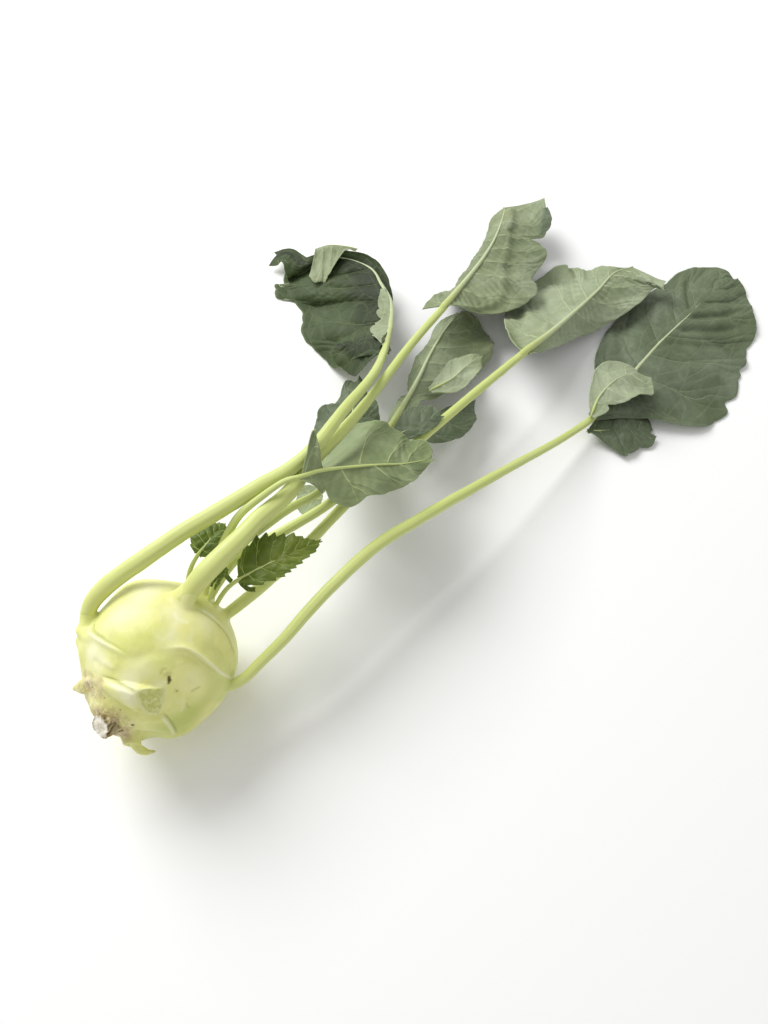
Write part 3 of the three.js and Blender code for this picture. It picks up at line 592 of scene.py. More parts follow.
def puckers(half, surface, t, s, width, length, room, seed):
    """How far the wrinkles, creases, pleats and dips of half a blade stand off its sheet."""
    wrinkle = np.sin(2 * math.pi * (t * length + 0.5 * s * width) / WRINKLE_SPACING
                     + WRINKLE_SWING * grain(surface, 12.0, seed + 6))
    height = half.get("pucker", PUCKER) * wrinkle * np.clip(4 * s * (0.85 - s) / 0.55, 0, 1)
    for course, high, spread in half.get("creases", []):
        past = s - profile(course, t)
        height += high * np.where(past < 0, 1 + past / profile(course, t), hump(past, spread))
    for place, depth, spread in half.get("pleats", []):
        within = smooth_step(0.02, 0.15, s) * (1 - smooth_step(0.5, 0.95, s))
        height -= depth * hump(t - 0.08 * s ** 2 - place, spread) * within
    for place, share, depth, size in half.get("dips", []):
        far = ((t - place) * length) ** 2 + ((s - share) * width) ** 2
        height -= depth * np.exp(-far / size ** 2) / room
    return height


def blade(name, leaf, start, end, rib, seed, rows, columns, veins, skins, frill):
    """A leaf blade: a thin wavy sheet with its veins in relief, and its midrib. rib is the
    midrib's half width at the foot, and frill how much the margin waves."""
    way = Way(leaf["axis"])
    length = end - start
    down = np.linspace(0, 1, rows + 1)
    shares = np.linspace(0, 1, columns + 1) ** 0.9
    sides = [half_blade(way, start, end, leaf[key], side, rib, down, shares, seed + shift)
             for key, side, shift in (("left", 1, 0), ("right", -1, 5))]
    courses = [vein_courses(down[:, None], shares[None, :], length, starts, seed + shift)
               for starts, shift in zip(veins, (0.0, 11.3))]

    def whole(left, right):
        return np.concatenate([left[:, :0:-1], right], axis=1)

    surface = whole(sides[0][0], sides[1][0])
    fields = {key: whole(courses[0][key], courses[1][key]) for key in courses[0]}
    width = whole(*(np.repeat(size[:, None], columns + 1, 1) for _, size in sides))
    t, s = np.broadcast_arrays(down[:, None], np.concatenate([shares[:0:-1], shares]))
    near = NO_VEIN
    for kind, (_, _, shows, _) in VEIN_KINDS.items():
        near = np.minimum(near, np.where(s >= shows, to_vein(fields, kind), NO_VEIN))
    normal = unit(np.cross(np.gradient(surface, axis=1), np.gradient(surface, axis=0)))
    room = np.clip(width / FULL_WIDTH, LEAST_ROOM, 1.0)
    pucker = np.concatenate([
        puckers(leaf[key], surface[:, part], t[:, part], s[:, part], width[:, part], length,
                room[:, part], seed)
        for key, part in (("left", np.s_[:columns]), ("right", np.s_[columns:]))], axis=1)
    ends = smooth_step(0, 0.06, t) * smooth_step(0, 0.06, 1 - t)
    full = np.sqrt(np.clip(4 * s * (1.1 - s), 0, 1)) * ends
    swell = np.minimum(near / FIELD_REACH, 1) ** 0.8 * full
    sunk = hump(near, VEIN_REACH) * (1 - 0.6 * s) * smooth_step(0.0, 0.1, s)
    crumple = (grain(surface, 26.0, seed + 1) * 2.2 * np.clip(4 * s * (1 - s), 0, 1)
               + grain(surface, 13.0, seed) * 1.1 + grain(surface, 5.0, seed + 2) * 0.3)
    frilled = frill * smooth_step(0.5, 1.0, s) * (
        0.8 * np.sin(t * length * 0.3 + 2 * grain(surface, 22.0, seed + 4))
        + 0.5 * grain(surface, 6.0, seed + 9))
    calm = smooth_step(0.0, 0.25, s)
    offset = room * (leaf["face"] * (swell * FIELD_SWELL - sunk * VEIN_DEPTH)
                     + calm * crumple * (0.5 + 0.5 * s) + frilled * ends + pucker * ends)
    surface = surface + normal * offset[..., None]
    lowest = LYING_HEIGHT + 0.12 * (1 + grain(surface, 8.0, seed))
    surface[..., 2] = np.maximum(surface[..., 2], lowest)
    fields.pop("inside")
    fields.update({"margin": s, "along": t})
    v = np.concatenate([-shares[:0:-1], shares])[None, :] * width / MAP_SIZE
    sheet = sheet_of_quads(name, surface, fields, np.stack([t * length / MAP_SIZE, v], -1))
    upper, under = skins[:2]
    for skin in ((upper, under) if leaf["face"] > 0 else (under, upper)):
        sheet.data.materials.append(skin)
    apply_modifier(sheet, "SOLIDIFY", thickness=LEAF_THICKNESS * MM, offset=0,
                   material_offset=1, use_even_offset=False)
    smooth(sheet)
    rib_skin = skins[2] if len(skins) > 2 else MIDRIB_SKIN
    rib_piece = midrib(name + "_midrib", leaf["face"], way, start, length, rib, rib_skin)
    return joined(name, [sheet, rib_piece])


# How far down its stalk a midrib starts, how many points it has, and how low it may lie.
MIDRIB_LEAD = 12.0
MIDRIB_SPOTS = 30
LOWEST_MIDRIB = 0.6
# How far the midrib lies off the sheet's middle, as a share of its size, on a blade that
# shows its upper side and on one that shows its under side.
UPPER_LEAN, UNDER_LEAN = -0.45, 0.35


def midrib(name, face, way, start, length, rib, skin):
    """The rib under a blade, from inside the stalk to the tip, thinning all the way."""
    lead = min(start, MIDRIB_LEAD)
    t = np.linspace(0, 1, MIDRIB_SPOTS)
    reach = (length + lead) * t - lead
    lean = (UPPER_LEAN if face > 0 else UNDER_LEAN) * rib * (1 - 0.8 * t)
    sizes = rib * (1 - np.clip(reach / length, 0, 1) ** 0.8 * 0.86)
    sizes = sizes * (0.8 + 0.2 * smooth_step(-MIDRIB_LEAD, 0, reach))
    if lead:
        lean = lean * smooth_step(-10, 6, reach)
    else:
        sizes *= 0.35 + 0.65 * smooth_step(0, 5, reach)
    spine = Way(way.at(start + reach) + UP * lean[:, None])
    spine.spots[:, 2] = np.maximum(spine.spots[:, 2], LOWEST_MIDRIB)
    piece = rod(name, spine, 0, spine.length * 0.985, sizes, sides=14, step=1.2,
                rounded=(0.8, 0.5))
    piece.data.materials.append(skin)
    return piece


# ---------- finishes ----------

# The green where a stalk leaves the bulb, which both skins reach.
FOOT_GREEN = (214, 219, 136)


def linear(red, green, blue):
    """A colour as the eye reads it, from 0 to 255, for a shader's socket."""
    shares = [c / 255 for c in (red, green, blue)]
    return (*(c / 12.92 if c <= 0.04045 else ((c + 0.055) / 1.055) ** 2.4 for c in shares), 1.0)


class Finish:
    """A material's node tree, with short ways to add the nodes that a skin needs. Colours
    are painted over one another, and dress puts the last of them on the shader."""

    def __init__(self, name, roughness, specular=0.4, soft=None, coat=0.0):
        self.material = bpy.data.materials.new(name)
        self.material.use_nodes = True
        self.tree = self.material.node_tree
        self.shader = self.tree.nodes["Principled BSDF"].inputs
        values = {"Roughness": roughness, "Specular IOR Level": specular, "Coat Weight": coat,
                  "Coat Roughness": 0.35}
        if soft:
            values.update(zip(("Subsurface Weight", "Subsurface Radius", "Subsurface Scale"), soft))
        for key, value in values.items():
            self.shader[key].default_value = value
        self.object_place = self.node("ShaderNodeTexCoord").outputs["Object"]

    def feed(self, socket, value):
        """Sets a socket, or joins it to what another node gives."""
        if hasattr(value, "is_output"):
            self.tree.links.new(value, socket)
        else:
            socket.default_value = value

    def node(self, kind, sockets=None, **settings):
        node = self.tree.nodes.new(kind)
        for key, value in settings.items():
            setattr(node, key, value)
        for key, value in (sockets or {}).items():
            self.feed(node.inputs[key], value)
        return node

    def field(self, name):
        return self.node("ShaderNodeAttribute", attribute_name=name).outputs["Fac"]

    def uv_place(self):
        return self.node("ShaderNodeUVMap", uv_map="grain").outputs["UV"]

    def stretched(self, place, stretch):
        sockets = {"Scale": stretch, "Vector": place}
        return self.node("ShaderNodeMapping", sockets).outputs["Vector"] if stretch else place

    def noise(self, scale, detail, distortion=0.0, where=None, stretch=None):
        place = self.stretched(where or self.object_place, stretch)
        sockets = {"Scale": scale, "Detail": detail, "Distortion": distortion, "Vector": place}
        return self.node("ShaderNodeTexNoise", sockets).outputs["Fac"]

    def patches(self, scale, detail, low, high, **more):
        return self.span(self.noise(scale, detail, **more), low, high)

    def cells(self, scale, warp, where, stretch=None):
        """Lines between cells, as the finest veins make: 0 on a line, 1 inside a cell."""
        place = self.stretched(where, stretch)
        stir = self.node("ShaderNodeTexNoise", {"Scale": scale * 0.8, "Vector": place})
        shift = self.node("ShaderNodeVectorMath", operation="MULTIPLY_ADD")
        for socket, value in zip(shift.inputs, (stir.outputs["Color"], (warp, warp, warp), place)):
            self.feed(socket, value)
        sockets = {"Scale": scale, "Vector": shift.outputs["Vector"]}
        lines = self.node("ShaderNodeTexVoronoi", sockets, feature="DISTANCE_TO_EDGE")
        return self.span(lines.outputs["Distance"], 0.0, 0.1)

    def span(self, value, low, high, to_low=0.0, to_high=1.0):
        sockets = {"Value": value, "From Min": low, "From Max": high, "To Min": to_low,
                   "To Max": to_high}
        return self.node("ShaderNodeMapRange", sockets,
                         interpolation_type="SMOOTHSTEP").outputs["Result"]

    def sum(self, operation, a, b, c=0.0):
        return self.node("ShaderNodeMath", {0: a, 1: b, 2: c}, operation=operation).outputs["Value"]

    def blend(self, share, under, over):
        under, over = (c if hasattr(c, "is_output") else linear(*c) for c in (under, over))
        sockets = {"Factor": share, "A": under, "B": over}
        return self.node("ShaderNodeMix", sockets, data_type="RGBA").outputs["Result"]

    def paint(self, where, colour, share=None):
        """Lays a colour over what is there, where a field or a pattern says."""
        if share is not None:
            where = self.sum("MULTIPLY", where, share)
        self.base = self.blend(where, self.base, colour)

    def dress(self, height=None, strength=0.0, depth=0.0):
        """Puts the colour and the relief on the shader, and gives the finished material."""
        self.feed(self.shader["Base Color"], self.base)
        if height is not None:
            sockets = {"Strength": strength, "Distance": depth, "Height": height}
            bump = self.node("ShaderNodeBump", sockets)
            self.feed(self.shader["Normal"], bump.outputs["Normal"])
        return self.material


def leaf_skin(name, deep, pale, vein, roughness, thick=1.0, net=0.1, vein_share=1.0, dusk=None,
              painted_shade=None):
    """The skin of one side of a leaf: clouded colour, with pale veins that thin out towards
    the margin, their forks, and a faint net between them; painted_shade, where given, is a colour
    of painted shade that darkens the blade towards its midrib."""
    f = Finish(name, roughness, specular=0.3, soft=(0.05, (0.4, 1.0, 0.2), 0.002))
    uv, margin, gap = f.uv_place(), f.field("margin"), f.field("gap")
    f.base = f.blend(f.patches(38, 4, 0.34, 0.68, distortion=0.3), deep, pale)
    if dusk:
        f.paint(f.patches(16, 3, 0.46, 0.68, distortion=0.6), dusk, 0.5)
    f.paint(f.patches(420, 3, 0.42, 0.75), pale, 0.16)
    # Painted shade: darkest by the midrib, gone towards the margin.
    if painted_shade:
        near = f.sum("MULTIPLY_ADD", f.patches(30, 3, 0.3, 0.7), 0.25, margin)
        f.paint(f.span(near, 0.25, 0.75, 0.85, 0.0), painted_shade)
    reach = f.sum("MULTIPLY_ADD", margin, -0.62, 1.0)
    half_line = f.sum("MULTIPLY", f.span(gap, 2.0, 14.0, 0.1, 0.24), thick)
    veins = None
    for kind, (_, _, shows, strength) in VEIN_KINDS.items():
        counted = f.field(kind)
        part = f.sum("ABSOLUTE", f.sum("SUBTRACT", counted, f.sum("ROUND", counted, 0.0)), 0.0)
        away = f.sum("DIVIDE", f.sum("MULTIPLY", part, gap), f.sum("MULTIPLY", half_line, reach))
        line = f.span(away, 0.35, 1.5, strength, 0.0)
        if shows:
            line = f.sum("MULTIPLY", line, f.span(margin, shows - 0.01, shows + 0.03))
        veins = line if veins is None else f.sum("MAXIMUM", veins, line)
    veins = f.sum("MULTIPLY", veins, f.span(margin, 0.86, 1.0, 1.0, 0.25))
    mesh, small = f.cells(2.6, 0.35, uv, (1.0, 1.5, 1.0)), f.cells(7.5, 0.1, uv)
    for where, share in ((f.sum("SUBTRACT", 1.0, mesh), net),
                         (f.sum("SUBTRACT", 1.0, small), net * 0.5),
                         (veins, vein_share), (f.span(margin, 0.975, 1.0), 0.45)):
        f.paint(where, vein, share)
    height = f.sum("MULTIPLY_ADD", mesh, 0.5, f.sum("MULTIPLY", small, 0.2))
    height = f.sum("MULTIPLY_ADD", f.noise(900, 2), 0.25, height)
    return f.dress(f.sum("SUBTRACT", height, f.sum("MULTIPLY", veins, 0.9)), 0.45, 0.0006)


def stalk_skin():
    """Waxy stalk: pale at the bulb, greener further out, in fine long streaks; the pale streaks are
    partly painted highlights.
    """
    f = Finish("stalk_skin", 0.42, soft=(0.08, (0.9, 1.0, 0.3), 0.002))
    uv, along = f.uv_place(), f.field("along")
    green = f.blend(f.span(along, 0.1, 0.8), (210, 218, 135), (197, 209, 126))
    f.base = f.blend(f.span(along, 0.0, 0.14), FOOT_GREEN, green)
    out = f.span(along, 0.04, 0.22)
    streaks = f.patches(1.0, 3, 0.4, 0.7, stretch=(20, 1.2, 1), where=uv)
    f.paint(f.sum("MULTIPLY", streaks, out), (172, 186, 92), 0.25)
    # Pale streaks along the stalk, partly the stalk's own colour and partly painted highlights.
    streaks = f.patches(1.0, 2, 0.5, 0.75, stretch=(12, 0.6, 1), where=uv)
    f.paint(f.sum("MULTIPLY", streaks, out), (226, 230, 168), 0.45)
    f.paint(f.patches(75, 4, 0.5, 0.78), (208, 215, 136), 0.3)
    fibre = f.noise(1.0, 3, stretch=(60, 5, 1), where=uv)
    return f.dress(f.sum("ADD", fibre, f.sum("MULTIPLY", f.noise(700, 2), 0.4)), 0.22, 0.0004)


def midrib_skin(name, tip):
    """The rib of a blade: the stalk's green at its foot, paler towards the tip."""
    f = Finish(name, 0.45, soft=(0.06, (0.9, 1.0, 0.3), 0.002))
    f.base = f.blend(f.span(f.field("along"), 0.04, 0.4), (190, 201, 120), tip)
    f.paint(f.patches(260, 3, 0.4, 0.7), (168, 180, 118), 0.25)
    return f.dress(f.noise(800, 3), 0.3, 0.0004)


def bulb_skin():
    """Pale green waxy skin, clouded and finely speckled, greener in spots that are partly painted
    shade;
    brown where the root joins, rough and moist where a leaf was cut, with painted glints of its
    shine, dark in old scars, with painted shade in the creases and painted highlights on the fold
    crests."""
    f = Finish("bulb_skin", 0.45, soft=(0.12, (1.0, 0.95, 0.35), 0.003), coat=0.04)
    f.base = f.blend(f.patches(34, 5, 0.32, 0.7, distortion=0.5), (225, 224, 134), (240, 239, 160))
    f.paint(f.patches(95, 5, 0.5, 0.7, distortion=1.2), (208, 213, 128), 0.38)
    f.paint(f.patches(52, 3, 0.52, 0.66, distortion=2.0), (206, 212, 122), 0.3)
    f.paint(f.patches(420, 3, 0.56, 0.7), (246, 246, 206), 0.22)
    # Greener spots, partly mottling and partly painted shade low on the side away from the light.
    f.paint(f.field("green"), (184, 194, 92))
    f.paint(f.field("foot"), FOOT_GREEN)
    # Painted highlights on the fold crests, with the skin's pale spots and streaks.
    f.paint(f.field("pale"), (246, 245, 210))
    # Painted shade in the hollows beside the folds and along the grooves.
    f.paint(f.field("crease_shade"), (150, 158, 76), 0.6)
    brown, cut = f.field("brown"), f.field("cut")
    bark = f.blend(f.patches(230, 5, 0.35, 0.68, distortion=0.4), (178, 150, 106), (222, 206, 166))
    f.paint(f.sum("MULTIPLY", brown, f.span(f.noise(200, 5), 0.25, 0.6, 0.25, 1.0)), bark)
    cracks = f.patches(330, 4, 0.55, 0.66, distortion=1.5)
    f.paint(f.sum("MULTIPLY", cracks, brown), (126, 96, 58), 0.55)
    pith = f.blend(f.patches(700, 4, 0.4, 0.65), (198, 202, 112), (220, 222, 146))
    # Pale specks on the cut face: painted glints of its moist shine.
    painted_glints = f.sum("MULTIPLY", f.patches(1000, 2, 0.62, 0.72), 0.5)
    f.paint(cut, f.blend(painted_glints, pith, (246, 246, 214)))
    f.paint(f.field("rim"), (240, 240, 178), 0.8)
    f.paint(f.field("scar"), (72, 66, 24))
    height = f.sum("ADD", f.noise(60, 4), f.sum("MULTIPLY", f.noise(420, 3), 0.3))
    grains = f.sum("MULTIPLY", f.noise(650, 4), f.sum("MULTIPLY", cut, 3.0))
    rough = f.sum("MULTIPLY", f.noise(300, 5, distortion=0.8), f.sum("MULTIPLY", brown, 2.6))
    return f.dress(f.sum("ADD", f.sum("ADD", height, grains), rough), 0.4, 0.0006)


def root_skin():
    """Dry fibrous bark round the pale face of the cut."""
    f = Finish("root_skin", 0.85, specular=0.15)
    fibres = f.patches(190, 6, 0.36, 0.66, stretch=(1.0, 0.3, 1.0), distortion=0.6)
    f.base = f.blend(fibres, (140, 122, 80), (212, 198, 156))
    f.paint(f.field("dark"), (86, 76, 38), 0.8)
    f.paint(f.patches(110, 5, 0.52, 0.66, distortion=0.8), (120, 104, 52), 0.45)
    f.paint(f.field("ring"), (112, 94, 50), 0.6)
    face = f.blend(f.patches(420, 4, 0.42, 0.62), (212, 202, 180), (240, 234, 216))
    f.paint(f.field("cut"), f.blend(f.field("lip"), face, (247, 242, 228)))
    return f.dress(f.noise(300, 6, distortion=0.5), 0.9, 0.0012)


UPPER_SKIN = leaf_skin("upper_skin", (84, 95, 70), (108, 119, 96), (146, 158, 128), 0.55,
                       vein_share=0.7, dusk=(94, 106, 72))
# Leaf 1's upper skin: a darker copy of the upper skin, with painted shade by the midrib, for a
# blade that lies in the shadow of its own curl.
PAINTED_SHADE_UPPER_SKIN = leaf_skin("painted_shade_upper_skin", (54, 66, 38), (74, 87, 58), (122, 136, 98), 0.6,
                       vein_share=0.55, dusk=(64, 80, 36), painted_shade=(32, 42, 16))
UNDER_SKIN = leaf_skin("under_skin", (138, 149, 116), (162, 172, 143), (186, 197, 158), 0.6,
                       thick=1.4, vein_share=0.6, net=0.14, dusk=(132, 142, 98))
# A darker copy of the under skin: painted shade for leaves 2 and 7.
PAINTED_SHADE_UNDER_SKIN = leaf_skin("painted_shade_under_skin", (120, 131, 98), (144, 154, 124), (178, 189, 148),
                            0.6, thick=1.3, vein_share=0.55, net=0.12, dusk=(124, 132, 88))
# A still darker copy of the under skin, with paler veins: painted shade for leaf 5.
DEEP_PAINTED_SHADE_UNDER_SKIN = leaf_skin("deep_painted_shade_under_skin", (116, 130, 88), (138, 150, 112), (194, 205, 144),
                       0.6, thick=0.85, net=0.06, vein_share=0.75, dusk=(124, 136, 90))
YOUNG_UPPER_SKIN = leaf_skin("young_upper_skin", (74, 92, 20), (104, 122, 42), (168, 182, 104),
                             0.45, thick=1.2, net=0.12, dusk=(120, 132, 40))
YOUNG_UNDER_SKIN = leaf_skin("young_under_skin", (112, 128, 66), (136, 150, 88),
                             (172, 186, 110), 0.55)
STALK_SKIN = stalk_skin()
MIDRIB_SKIN = midrib_skin("midrib_skin", (190, 200, 158))
GREEN_MIDRIB_SKIN = midrib_skin("green_midrib_skin", (196, 208, 132))
BULB_SKIN = bulb_skin()
ROOT_SKIN = root_skin()


# ---------- the bulb ----------

# Folds of old leaf feet on the skin: the line they follow, how high they stand, how far they
# spread to the left and to the right of it, over what share of it each end fades, and how
# dark the painted shade in the hollow on the steeper side is.
LEFT_FOLD = [(4, -8.6, 64.3), (0.3, -9.3, 64.3), (-5.1, -9.9, 63.6), (-11.2, -10.5, 61.6),
             (-16.6, -10.6, 58.7), (-20.5, -9.9, 56.0), (-22.4, -8.6, 55.0)]
RIGHT_FOLD = [(10.5, 0.6, 64.5), (13.8, 5.0, 63.1), (16.9, 8.0, 61), (20.5, 9.3, 58.2),
              (25.0, 10.0, 53.8), (28.0, 10.7, 49.4), (30.4, 11.5, 43.4), (31.6, 13.2, 34.9)]
FOLDS = [
    (LEFT_FOLD, 0.9, 1.3, 0.5, (0.5, 0), 1.0),
    (RIGHT_FOLD, 0.7, 2.0, 4.0, (0.3, 0), 0),
    (RIGHT_FOLD, 0.8, 0.75, 0.7, (0.4, 0), 0.35),
    ([(-3.1, -21.5, 56.6), (2, -19.8, 58.4), (6.8, -18.2, 59), (11, -16.6, 58.6),
      (14, -16, 57.6)], 1.3, 0.45, 4.0, (0.3, 0.1), 1.0),
    ([(-3, 21.9, 58.6), (4.3, 24, 56.8), (9.9, 25.3, 53.9), (14.4, 25.8, 50.6),
      (19.7, 25.4, 45.1), (24.1, 23.4, 40.6), (27.7, 20.4, 33.6)],
     0.55, 1.6, 0.5, (0.2, 0.25), 1.0),
    ([(23.6, -16.4, 49), (24.7, -16.4, 46.5), (26.6, -17, 41.9), (27.2, -17.6, 35),
      (26.9, -18.2, 27.8)], 0.9, 0.5, 5.0, (0.15, 0.3), 1.0),
    ([(-4, -23.5, 55), (-9, -25.5, 50.5), (-12, -27, 45)], 0.7, 1.6, 1.0, (0.3, 0.4), 0.6),
    ([(-6, -15, 60.8), (-2, -16, 61), (3, -14.5, 62)], 0.3, 2.0, 0.8, (0.4, 0.4), 0.6),
    ([(28.6, 15.5, 44), (31.5, 10, 37), (32.6, 2, 32)], 0.6, 2.2, 1.6, (0.4, 0.4), 0.6),
    ([(-26, -11, 46.6), (-23, -15.3, 47.8), (-19, -18.5, 50), (-14, -21.5, 51)],
     1.3, 5.0, 5.0, (0.3, 0.4), 0),
    ([(14, -29, 40), (20, -25, 38), (25, -19, 36)], 0.5, 2.4, 0.9, (0.4, 0.4), 0.6),
    ([(-28.1, -14.7, 47), (-25.4, -17.1, 45.4), (-22.7, -19.9, 44)], 2.0, 5.0, 5.0, (0, 0.9), 0),
    ([(-14, -16, 56), (-20, -14, 53), (-25, -11, 50)], 1.0, 4.0, 4.0, (0.5, 0), 0),
    ([(-30.2, 0.6, 48.7), (-29.9, 7.6, 49.2), (-28.6, 14.1, 49.2), (-25.3, 19.6, 48.1),
      (-20.9, 24.5, 46.5), (-14, 28, 44)], 2.2, 11.0, 11.0, (0.5, 0.6), 0),
    ([(18.8, -26.6, 26.7), (22.7, -23.8, 25.3), (26.4, -20.6, 24.2), (29.6, -16.2, 23.2),
      (31.4, -10.8, 22.8), (31.9, -4.4, 22.8)], 1.9, 7.0, 7.0, (0.4, 0.5), 0),
    ([(6.8, -33.5, 31.5), (9.6, -32.7, 30.1), (12.6, -32.1, 29.2), (15.6, -31.5, 28.3)],
     3.4, 5.5, 5.5, (0, 0), 0),
    ([(-8.5, -31.2, 37.5), (-4.6, -33.2, 38.5)], 1.8, 5.5, 5.5, (0, 0), 0),
]
# A fold at least this far spread also runs over the leaves' feet.
BROAD_FOLD = 4
# Grooves: the line, how deep, how wide, how much darker the painted shade in them makes the skin.
GROOVES = [
    ([(-9, -9.2, 62.6), (-13, -9.4, 61), (-18.6, -9.3, 57.8), (-21.5, -8.1, 56),
      (-24.2, -6.0, 53.9)], 0.4, 0.45, 0.8),
    ([(16.9, 5.0, 61.9), (21.5, 6.3, 58.2), (25.4, 8, 54.5)], 0.1, 1.5, 0.25),
    ([(29.7, 12.9, 44.6), (30.8, 14.2, 38.5), (30.8, 15.2, 35)], 0.3, 1.0, 0.7),
    ([(0, -9.5, 64.2), (5.8, -7.7, 64.4), (8.3, -3.3, 64.8), (10.5, 0.6, 64.5)], 0.35, 2.2, 0.12),
    ([(28, -3.1, 51.0), (28.6, -0.7, 50.6), (29.2, 1.7, 49.7)], 0.3, 0.5, 0.55),
    ([(28.4, -6.6, 48.6), (29.4, -7.6, 46.4), (30.6, -7.6, 43.6)], 0.25, 0.45, 0.5),
    ([(23.6, -6.6, 55.2), (25.2, -6, 53.8)], 0.15, 0.6, 0.4),
    ([(17.2, -6.2, 60.2), (16.8, -3.6, 61.4), (18.4, -2.6, 60.9)], 0.25, 0.5, 0.3),
    ([(-11, -18.5, 57), (-8, -18, 58.5), (-4, -18.8, 59)], 0.3, 1.2, 0.15),
]
# Pale lines: painted highlights along the crests of the two leaf folds, and pale streaks of the
# skin itself: the line, how wide, how much lighter, and where it fades in.
CRESTS = [
    (LEFT_FOLD, 0.5, 1.0, 0.6), (RIGHT_FOLD, 0.6, 1.6, 0.75),
    ([(2.5, 17, 61.5), (6, 15, 62), (9.5, 16.5, 61)], 1.0, 0.6, 0.3),
    ([(6, 17, 61), (8, 12, 63), (10, 8, 64)], 1.6, 0.4, 0.3),
    ([(11, 18, 60), (14, 15, 60), (17, 11, 60.5), (20, 9.5, 58.5)], 1.2, 0.4, 0.3),
    ([(-10, -14, 60), (-6, -15.5, 60.5), (-1, -16, 61)], 1.2, 0.4, 0.3),
    ([(27, -6, 52), (28.5, -8, 49), (29, -10.5, 46)], 1.0, 0.4, 0.3),
]
# Spots on the skin: where, how wide, and how deep a dent or how strong a colour.
DENTS = [((19.6, -4.7, 59.4), 1.5, 0.45), ((8, -1, 66), 5.0, 0.4), ((27, -3, 51), 2.5, 0.25),
         ((30, -10, 42), 5.0, 0.4), ((-9, -20, 57), 4.0, 0.4), ((4, -13, 63), 5.0, 0.3)]
SCARS = [((20.6, -5.1, 58.5), 0.85, 1.0), ((20.0, -4.4, 59.2), 0.6, 0.95),
         ((20.9, -6.1, 57.9), 0.5, 0.8), ((15.7, -26.5, 42.5), 0.65, 1.0),
         ((10.3, -25.2, 50.1), 0.35, 0.8), ((2.5, -25.5, 51.8), 0.4, 0.6),
         ((24.6, -6.1, 54.5), 0.4, 0.5)]
BROWN_SPOTS = [((-10.8, -25.2, 49.3), 4.0, 0.45), ((-5.3, -25.4, 51.6), 4.6, 0.55),
               ((-0.9, -25, 52.9), 3.6, 0.5), ((-8.2, -28.2, 45.2), 5.0, 0.6),
               ((-0.8, -22, 56.6), 2.4, 0.3), ((11, -30, 36), 4.0, 0.5),
               ((9.4, -27.4, 46.4), 3.0, 0.35), ((19.0, -3.6, 60.2), 1.6, 0.2)]
# Greener spots: partly the skin's own mottling, partly painted shade, the strongest ones low on the
# side turned away from the light.
GREEN_AND_SHADE_SPOTS = [((30, -9, 41), 7.0, 0.5), ((28, -14, 34), 8.0, 0.5), ((22, -22, 32), 9.0, 0.3),
               ((30, 8, 44), 6.0, 0.25), ((-29, -6, 45), 9.0, 0.3), ((3.9, 8.5, 65.2), 5.0, 0.12),
               ((-4, -6, 65), 9.0, 0.22), ((9, -2, 65), 8.0, 0.3), ((6, 30, 45), 10.0, 0.3),
               ((25, 12, 52), 5.0, 0.2), ((-12, -16, 58), 6.0, 0.2), ((32.4, 4.6, 42), 5.0, 0.4),
               ((31.9, -3.9, 42.4), 5.0, 0.25), ((25.8, -18.7, 40.8), 4.5, 0.35)]
PALE_SPOTS = [((-9, -17, 58.5), 6.0, 0.5), ((-14, -15, 57), 4.0, 0.4),
              ((8.5, -16.5, 60), 4.0, 0.6), ((-12, 8, 63), 8.0, 0.4), ((13, 22, 55), 5.0, 0.35),
              ((26, 2, 53), 4.0, 0.2), ((19, -9, 59), 2.2, 0.4), ((13.5, -18.5, 57.5), 3.0, 0.6),
              ((-14.4, -1.8, 62.4), 6.0, 0.35), ((-13.5, 17.6, 58.3), 6.0, 0.5),
              ((3.5, 16.6, 62.3), 5.0, 0.45), ((10.0, -9.6, 62.7), 5.0, 0.35),
              ((11.1, 6.6, 64.0), 5.0, 0.3)]
# The slice that took a leaf off: a spot on it, the way it faces, its middle, and how far
# its rim is from the middle, once round.
CUT_SPOT = np.array([15.8, -17.1, 59.8])
CUT_FACING = unit(np.array([0.74, -0.26, 0.62]))
CUT_MIDDLE = np.array([19.5, -13.9, 56.4])
CUT_RIM = [5.7, 6.1, 7.6, 7.8, 6.8, 5.1, 4.4, 4.4, 4.9, 5.9, 5.0, 4.7, 5.0, 5.9, 6.4, 5.7, 5.7]
CUT_REACH = 9
TORN_FEET = ("torn_below", "torn_left")
ROOT_ROUTE = [[7.4, -28.2, 37.9], [6.9, -32.0, 41.0], [6.4, -35.7, 44.1]]
# Round the root the skin is drawn out to a neck and ends in a ragged collar, and is brown:
# how high, how far, and where.
NECK_HEIGHT, NECK_SPREAD = 2.6, 9.0
COLLAR_PLACE, COLLAR_SPREAD = 8.0, 2.2
BROWN_SPREAD = 9.6
# How far the rounding of each foot's join with the skin reaches.
JOINS = {"leaf_1": 5.0, "leaf_2": 11.0, "leaf_3": 6.0, "leaf_4": 5.0, "leaf_5": 4.5,
         "leaf_6": 4.5, "leaf_7": 4.5}


def on_bulb(points):
    """Points brought onto the bulb's round surface."""
    return BULB_CENTRE + unit(np.array(points, float) - BULB_CENTRE) * BULB_RADIUS


def along_line(places, line):
    """For each place: how far it is from a line, on which side, and how far along it."""
    way = Way(on_bulb(line))
    marks = np.linspace(0, way.length, MARKS_ON_A_LINE)
    spots, heading = way.at(marks), way.heading(marks)
    gap, which = nearest(places, spots)
    turned = np.cross(heading[which], places - spots[which])
    side = np.einsum("ij,ij->i", turned, unit(places - BULB_CENTRE))
    return gap, side, which / (MARKS_ON_A_LINE - 1)


def fade_in(share, over):
    return smooth_step(0, over, share + 1e-6)


def spot(places, centre, radius, soft):
    gap = np.linalg.norm(places - on_bulb([centre])[0], axis=1)
    return 1 - smooth_step(radius * (1 - soft), radius * (1 + soft), gap)


def spots(places, table, soft):
    return sum(share * spot(places, centre, radius, soft) for centre, radius, share in table)


